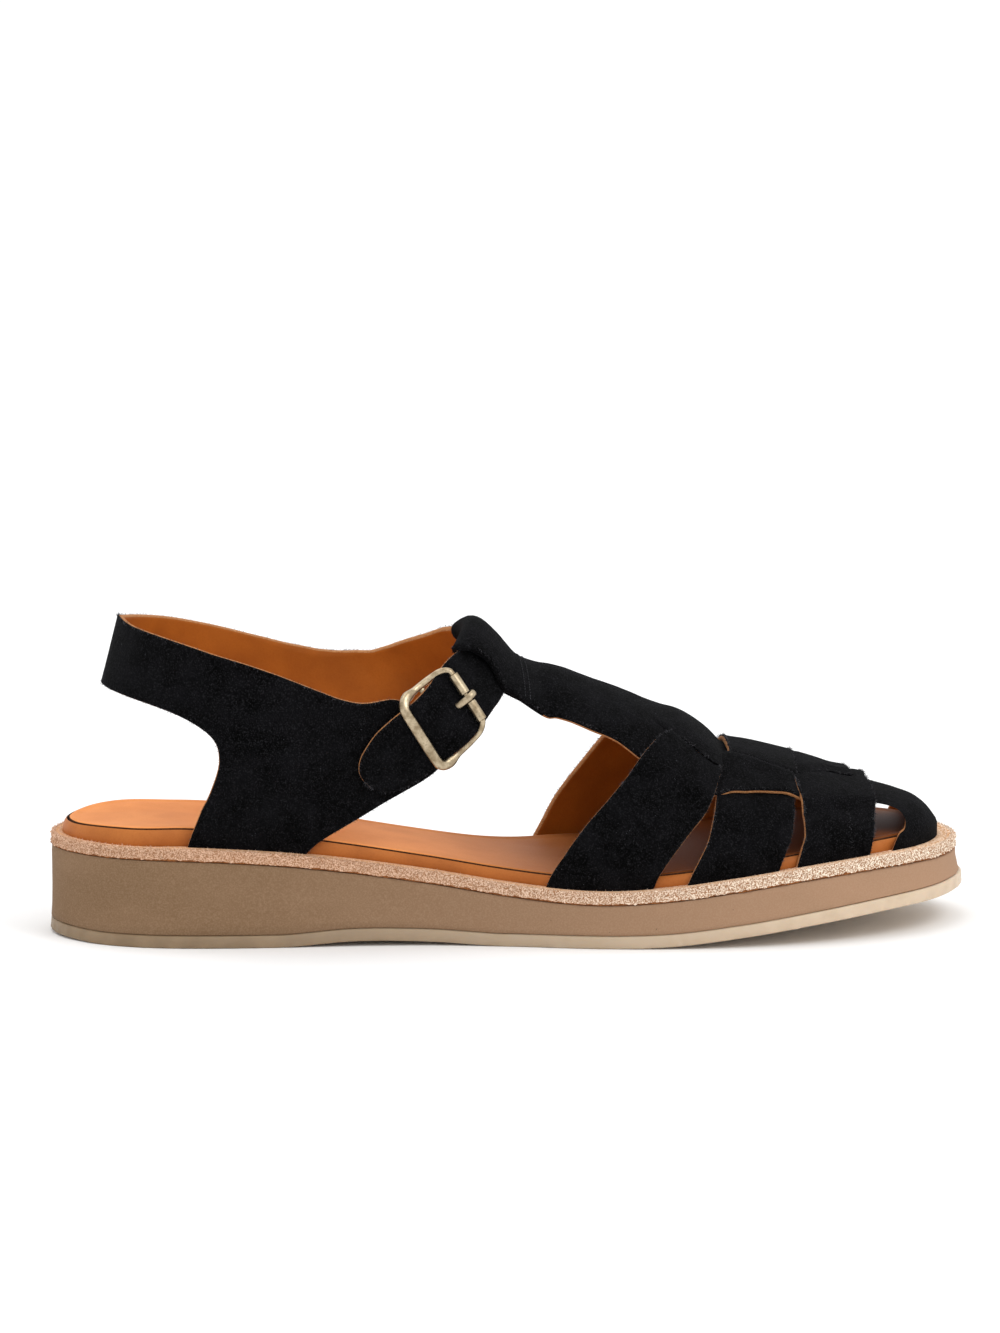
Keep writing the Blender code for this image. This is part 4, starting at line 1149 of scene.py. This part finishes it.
def weave_lift(share, angle, over_outer, toe=False):
    """Lift of a cross strap, as a share of LIFT: over one half of the centre strap and under the other."""
    outer, slit, inner = centre_edges(share)
    crossed = soft_step(angle, slit - 5, slit + 5)
    if over_outer:
        lift = soft_step(angle, outer - 12, outer - 1) * (1 - crossed)
    else:
        lift = crossed * (1 - soft_step(angle, inner + 1, inner + 12))
    if toe:
        tip = soft_step(share, 0.862, 0.886) * soft_step(angle, -62, -34)
        lift = np.maximum(lift, tip * (1 - soft_step(angle, 34, 60)))
    return lift


def cross_strap(name, rows, over_outer, toe=False, seed=1):
    angles = np.linspace(-90, 90, 261)
    fraction = np.linspace(0, 1, 33)[None, :]
    rear, front = strap_edges(rows, angles)
    share = rear + (front - rear) * fraction
    angle = angles[:, None] + 0 * share
    grid = arch(share, angle)
    lift = weave_lift(share, angle, over_outer, toe) * LIFT
    grid = grid + grid_normals(grid) * lift[..., None]
    return strip(name, grid, seed, 1)


HALF_COLUMNS = 17


def half_columns(outer, slit, inner, slit_half):
    """Column values from the outer edge to the slit, then from the slit to the inner edge."""
    near = np.linspace(0, 1, HALF_COLUMNS)[None, :]
    outer, slit, inner = (np.asarray(v, float).reshape(-1, 1) for v in (outer, slit, inner))
    return np.hstack(
        [outer + (slit - slit_half - outer) * near, slit + slit_half + (inner - slit - slit_half) * near]
    )


# Fold of the centre strap round the ankle strap: along the ankle strap's width and off the instep, in
# millimetres, then the wall, the turns of its outer and inner edges, and how far the inner edge stands
# forward
FOLD = (
    (16.5, 1.6, 0.9, 29, 28, 0),
    (13.0, 1.0, 0.9, 30, 28, 0),
    (9.0, 1.0, 1.0, 32, 28, 0),
    (0.0, 1.1, 1.0, 33, 28, 0),
    (-6.5, 1.1, 1.1, 33, 28, 2.0),
    (-8.6, 1.7, 1.5, 34, 28, 2.6),
    (-9.0, 2.9, 1.9, 36, 29, 2.8),
    (-8.2, 4.2, 2.1, 36.5, 30, 2.6),
    (-5.6, 5.0, 2.1, 34, 30, 1.6),
    (0.0, 4.9, 2.0, 32, 29, 0.4),
    (4.5, 4.2, 2.0, 35, 29, 0),
    (8.5, 3.6, 2.0, 38, 30, 0),
    (12.0, 4.0, 2.0, 38, 32, 0),
)


# Places along the sandal of the two rows of stitches that hold the fold
FOLD_STITCHES = (3.3 * MM, 4.8 * MM)
FOLD_RIM_END = 8 * MM  # the fold's rims are suede behind this place
SLIT_START = 0.676  # share of LENGTH
OUTER_FLAP_END = 0.858  # share of LENGTH


def make_centre_strap():
    rows = []
    walls = []
    for along, lift, wall, outer_turn, inner_turn, ahead in FOLD:
        turns = half_columns(-outer_turn, -3, inner_turn, 0.5)[0]
        places = (along + ahead * (turns + outer_turn) / (inner_turn + outer_turn)) * MM
        rows.append([ankle_point(abs(t), a, -1 if t < 0 else 1, lift * MM) for t, a in zip(turns, places)])
        walls.append(wall)
    shares = np.concatenate([[0.532, 0.546], np.arange(0.560, 0.872, 0.0045)])
    outer, slit, inner = centre_edges(shares)
    angles = half_columns(outer, slit, inner, 0.55)
    grid = arch(shares[:, None], angles)
    outer_lift, inner_lift = (curve_through(CENTRE_STRAP, k, shares)[:, None] for k in (4, 5))
    inner_lift = np.minimum(inner_lift, 1 + 0.3 * soft_step(shares, 0.85, 0.875)[:, None])
    tip = 0.5 * np.clip(outer_lift - inner_lift, -1, 1) * soft_step(shares, 0.668, 0.69)[:, None]
    near = np.linspace(0, 1, HALF_COLUMNS)[None, :] ** 3
    lift = np.hstack([outer_lift + tip * near, inner_lift - tip * near[:, ::-1]])
    grid = grid + grid_normals(grid) * (lift * LIFT)[..., None]
    coarse = np.concatenate([np.array(rows).reshape(len(FOLD), -1, 3), grid])
    grid, at = even_rows(coarse, 0.7 * MM)
    wall = np.interp(at, np.arange(len(FOLD)), walls) * MM
    share = np.interp(at, np.arange(len(FOLD), len(coarse)), shares)
    keep = np.ones((len(grid) - 1, 2 * HALF_COLUMNS - 1), bool)
    keep[share[:-1] > SLIT_START, HALF_COLUMNS - 1] = False
    keep[share[:-1] > OUTER_FLAP_END, : HALF_COLUMNS - 1] = False
    wall = wall[:, None] + 0 * grid[..., 0]
    piece = strip("centre_strap", grid, 3, 2, keep, wall)
    for face in piece.data.polygons:
        if face.material_index == 1 and face.center.x < FOLD_RIM_END:
            face.material_index = 0
    finish_piece(piece, "upper")
    skin = grid + grid_normals(grid) * (wall + 0.1 * MM)[..., None]
    flat = skin[at > len(FOLD) - 5]
    roots = []
    ways = []
    for place in FOLD_STITCHES:
        strands = flat.transpose(1, 0, 2)
        line = np.array([[np.interp(place, s[:, 0], s[:, k]) for k in range(3)] for s in strands])
        thread = spline(line, np.linspace(1, len(line) - 2, 41))
        ahead = thread[1:] - thread[:-1]
        roots.append(thread[:-1] - 0.2 * ahead)
        ways.append(ahead * 0.75)
    stitches = fibres("fold_stitches", np.concatenate(roots), np.concatenate(ways), 0.13 * MM, THREAD)
    finish_piece(stitches, "upper")


def make_cross_straps():
    for name, rows, over_outer, toe, seed in (
        ("rear_cross_strap", REAR_STRAP, True, False, 21),
        ("middle_cross_strap", MIDDLE_STRAP, False, False, 22),
        ("front_cross_strap", FRONT_STRAP, True, True, 23),
    ):
        finish_piece(cross_strap(name, rows, over_outer, toe, seed), "upper")


# Forward lean of the far side of the toe opening, for each unit across the sandal
TOE_SHEAR = 0.06


def make_toe_piece():
    centre = np.array([x_at(TOE_PIECE_START), curve_through(RIDGE, 2, TOE_PIECE_START) * HALF_BALL])
    rim = outline(DENSE, LAST_INSET + flare_inset(outline_shares(DENSE)))
    bearing = np.arctan2(rim[:, 1] - centre[1], rim[:, 0] - centre[0])
    order = np.argsort(bearing)
    reach = np.hypot(*(rim - centre).T)
    rays = np.radians(np.linspace(-90, 90, 181))
    length = np.interp(rays, bearing[order], reach[order])
    out = np.sin(np.radians(np.linspace(4, 90, 60)))[None, :]
    x = centre[0] + np.cos(rays)[:, None] * length[:, None] * out
    y = centre[1] + np.sin(rays)[:, None] * length[:, None] * out
    grid = np.stack([x, y, dome(x, y)], -1)
    grid[:, -1, 2] = midsole_top(grid[:, -1, 0]) + GAP
    piece = strip("closed_toe", grid, 5, 1)
    rows = np.array(TOE_OPENING)
    edge = spline(arch(rows[:, 0], rows[:, 1]), np.linspace(0, len(rows) - 1, 49))
    profile = [(x_at(0.84), 5 * MM), (x_at(0.84), edge[0, 2])]
    profile += [(p[0], p[2]) for p in edge]
    profile.append((edge[-1, 0], 5 * MM))
    leans = [(y, TOE_SHEAR * (y + HALF_BALL / 2)) for y in (-80 * MM, 80 * MM)]
    rings = [[(px + lean, y, pz) for px, pz in profile] for y, lean in leans]
    count = len(profile)
    faces = [list(range(count)), list(range(2 * count - 1, count - 1, -1))]
    faces += [[(i + 1) % count, i, count + i, count + (i + 1) % count] for i in range(count)]
    cutter = new_object("toe_cutter", rings, faces, [CUT_EDGE])
    fix_normals(cutter)
    cut_with(piece, cutter, material_mode="TRANSFER")
    finish_piece(piece, "upper")


# Quarter and ankle strap


def column_positions(rows, columns, per_row):
    """The table's columns, read at evenly spread rows."""
    count = len(rows)
    numbered = [(i, *row) for i, row in enumerate(rows)]
    at = np.linspace(0, count - 1, (count - 1) * per_row + 1)
    return [curve_through(numbered, k + 1, at) for k in range(columns)]


def make_quarter():
    f = np.linspace(0, 1, 29)[None, :]
    low_turn, low_z, high_turn, high_z = column_positions(HEEL_BAND, 4, 3)
    turn = low_turn[:, None] + (high_turn - low_turn)[:, None] * f
    z = (low_z[:, None] + (high_z - low_z)[:, None] * f) * INSTEP_HEIGHT
    band = np.where((turn < 0)[..., None], heel_point(abs(turn), z, -1), heel_point(abs(turn), z, 1))
    signed = [(row[0] * row[1], *row[2:]) for row in ANKLE_STRAP]
    turn, rear, front, lift = column_positions(signed, 4, 2)
    along = (front[:, None] + (rear - front)[:, None] * f) * STRAP_WIDTH
    strap = [ankle_point(abs(t), along[i], -1 if t < 0 else 1, lift[i] * MM) for i, t in enumerate(turn)]
    grid = even_rows(np.concatenate([band, strap]), 0.8 * MM)[0]
    piece = strip("quarter_and_ankle_strap", grid, 9, 1)
    bpy.ops.mesh.primitive_cylinder_add(vertices=24, radius=0.7 * MM, depth=12 * MM)
    hole = bpy.context.object
    low, high = (buckle_place(0, PRONG_HOLE, k * MM) for k in (2, 9))
    hole.rotation_mode = "QUATERNION"
    hole.rotation_quaternion = Vector(high - low).to_track_quat("Z", "Y")
    hole.location = Vector((low + high) / 2)
    cut_with(piece, hole)
    finish_piece(piece, "quarter")


# Buckle

PRONG_HOLE = -4.4 * MM


def buckle_place(across, back, lift):
    """Point at the buckle: across the strap, back towards the tip, and off the inside of the ankle."""
    skew = BUCKLE_SKEW
    along = -2.1 * MM + across * cos(skew) - back * sin(skew)
    down = BUCKLE_DOWN + across * sin(skew) + back * cos(skew)
    share = np.clip(1 - down / ANKLE_DROP, 0, 1)
    beyond = np.degrees(np.maximum(down / ANKLE_DROP - 1, 0))
    return ankle_point(np.degrees(np.arccos(share)) + beyond, along, -1, lift)


def tube(name, path, wide, tall, closed=False, sides=20, refine=4):
    """Flattened wire along a path of (across, back, lift) at the buckle, rounded at its free ends."""
    path = np.array(path, float)
    wide, tall = (np.broadcast_to(np.asarray(v, float), len(path)) for v in (wide, tall))
    rows = np.column_stack([path, wide, tall])
    if closed:
        rows = np.concatenate([rows[-3:], rows, rows[:4]])
        at = np.linspace(3, len(rows) - 4, (len(path)) * refine, endpoint=False)
    else:
        at = np.linspace(0, len(rows) - 1, (len(rows) - 1) * refine + 1)
    rows = spline(rows, at)
    places = np.array([buckle_place(*r[:3]) for r in rows])
    ups = np.array([buckle_place(r[0], r[1], r[2] + MM) for r in rows]) - places
    ahead = np.roll(places, -1, 0) - np.roll(places, 1, 0) if closed else np.gradient(places, axis=0)
    ahead = unit(ahead)
    sideways = unit(np.cross(ahead, ups))
    ups = np.cross(sideways, ahead)
    turn = np.arange(sides) * 2 * pi / sides
    scale = np.ones(len(rows))
    if not closed:
        scale[[0, -1]] = 0.55
    c = np.cos(turn)
    s = np.sin(turn)
    square = 1 / (np.abs(c) ** 2.6 + np.abs(s) ** 2.6) ** (1 / 2.6)
    rings = (
        places[:, None]
        + (c * square)[None, :, None] * (rows[:, 3] * scale / 2)[:, None, None] * sideways[:, None]
        + (s * square)[None, :, None] * (rows[:, 4] * scale / 2)[:, None, None] * ups[:, None]
    )
    return ring_loft(name, rings, [BRASS], [0] * len(rings), closed)


def make_buckle():
    half_u = (BUCKLE_LENGTH - WIRE) / 2
    half_v = (BUCKLE_WIDTH - WIRE) / 2
    corner = 3.0 * MM
    path = []
    wide = []
    for quadrant, (su, sv) in enumerate(((1, 1), (-1, 1), (-1, -1), (1, -1))):
        for t in np.radians(90 * quadrant + np.linspace(0, 90, 5)):
            u = su * (half_u - corner) + corner * cos(t)
            v = sv * (half_v - corner) + corner * sin(t)
            path.append((u, v))
            wide.append(3.0 if sv > 0 else 1.7)
        if quadrant in (1, 3):
            for f in (0.25, 0.5, 0.75):
                path.append((u, v - 2 * v * f))
                wide.append(2.1)
        else:
            for f in (0.3, 0.7):
                path.append((u - 2 * u * f, v))
                wide.append(3.2 if v > 0 else 1.5)
    rows = []
    for u, v in path:
        dip = 1 - min(abs(v) / half_v, 1) ** 2
        reach = u * (1 + BUCKLE_TAPER * v / half_v)
        rows.append((reach, v, FRAME_LIFT - (FRAME_LIFT - BAR_LIFT - 0.5 * MM) * dip))
    frame = tube("wire_frame", rows, np.array(wide) * MM, np.array(wide) * 0.8 * MM, closed=True)
    finish_piece(frame, "buckle_frame")
    bar = tube("centre_bar", [(u, 0, BAR_LIFT) for u in np.linspace(-half_u, half_u, 7)], 2 * MM, 1.8 * MM)
    finish_piece(bar, "buckle_frame")
    for name, start, end in (("rear_sleeve", -7.2, -0.6), ("front_sleeve", 1.8, 8.3)):
        sleeve = tube(
            name,
            [(u * MM, -half_v, FRAME_LIFT) for u in np.linspace(start, end, 8)],
            2.9 * MM,
            2.6 * MM,
        )
        finish_piece(sleeve, "buckle_frame")
    prong = tube(
        "wire_prong",
        [
            (0.4 * MM, 1.2 * MM, BAR_LIFT - 0.6 * MM),
            (0.4 * MM, -1.0 * MM, BAR_LIFT + 1.4 * MM),
            (0.4 * MM, -3.6 * MM, 4.6 * MM),
            (0.5 * MM, -5.0 * MM, FRAME_LIFT - 0.2 * MM),
            (0.5 * MM, -6.1 * MM, FRAME_LIFT + 1.3 * MM),
            (0.6 * MM, -half_v, FRAME_LIFT + 2.0 * MM),
            (0.6 * MM, -half_v - 1.0 * MM, FRAME_LIFT + 1.5 * MM),
            (0.6 * MM, -half_v - 1.3 * MM, FRAME_LIFT + 0.4 * MM),
        ],
        2.1 * MM,
        1.5 * MM,
    )
    finish_piece(prong, "buckle_prong")


# Studio


def make_studio():
    bpy.ops.mesh.primitive_plane_add(size=60)
    floor = bpy.context.object
    floor.name = "studio_floor"
    look = Look("studio_white", (0.93, 0.93, 0.93), 0.9)
    floor.data.materials.append(look.material)
    world = bpy.data.worlds.new("studio_world")
    world.use_nodes = True
    world.node_tree.nodes["Background"].inputs["Color"].default_value = (1, 1, 1, 1)
    world.node_tree.nodes["Background"].inputs["Strength"].default_value = WORLD_LIGHT
    bpy.context.scene.world = world
    for name, place, size, energy in LAMPS:
        light = bpy.data.lights.new(name, "AREA")
        light.shape = "DISK"
        light.size = size
        light.energy = energy
        lamp = bpy.data.objects.new(name, light)
        bpy.context.scene.collection.objects.link(lamp)
        lamp.location = place
        lamp.rotation_mode = "QUATERNION"
        lamp.rotation_quaternion = (Vector((0, 0, 0.04)) - Vector(place)).to_track_quat("-Z", "Y")
    bpy.context.scene.view_settings.view_transform = "Standard"


WORLD_LIGHT = 1.06
LAMPS = (
    ("key_light", (0.9, -1.0, 1.4), 0.9, 9),
    ("top_light", (-0.3, 0.3, 1.6), 1.2, 5),
)

PHOTO_TURN = radians(-5.5)
PHOTO_RISE = radians(9.9)
PHOTO_AIM = Vector((-0.0022, 0.0002, 0.0768))
PHOTO_WIDTH = 0.2946
CAMERA_DISTANCE = 12.0


def make_camera():
    data = bpy.data.cameras.new("camera")
    camera = bpy.data.objects.new("camera", data)
    bpy.context.scene.collection.objects.link(camera)
    back = Vector(
        (sin(PHOTO_TURN) * cos(PHOTO_RISE), -cos(PHOTO_TURN) * cos(PHOTO_RISE), sin(PHOTO_RISE))
    )
    camera.location = PHOTO_AIM + back * CAMERA_DISTANCE
    camera.rotation_mode = "QUATERNION"
    camera.rotation_quaternion = (-back).to_track_quat("-Z", "Y")
    data.sensor_width = 36
    data.lens = data.sensor_width * CAMERA_DISTANCE / (PHOTO_WIDTH * 1333 / 1000)
    data.clip_end = 100
    bpy.context.scene.camera = camera


make_sole()
make_welt()
make_footbed()
make_centre_strap()
make_cross_straps()
make_toe_piece()
make_quarter()
make_edge_fibres()
make_buckle()
make_studio()
make_camera()
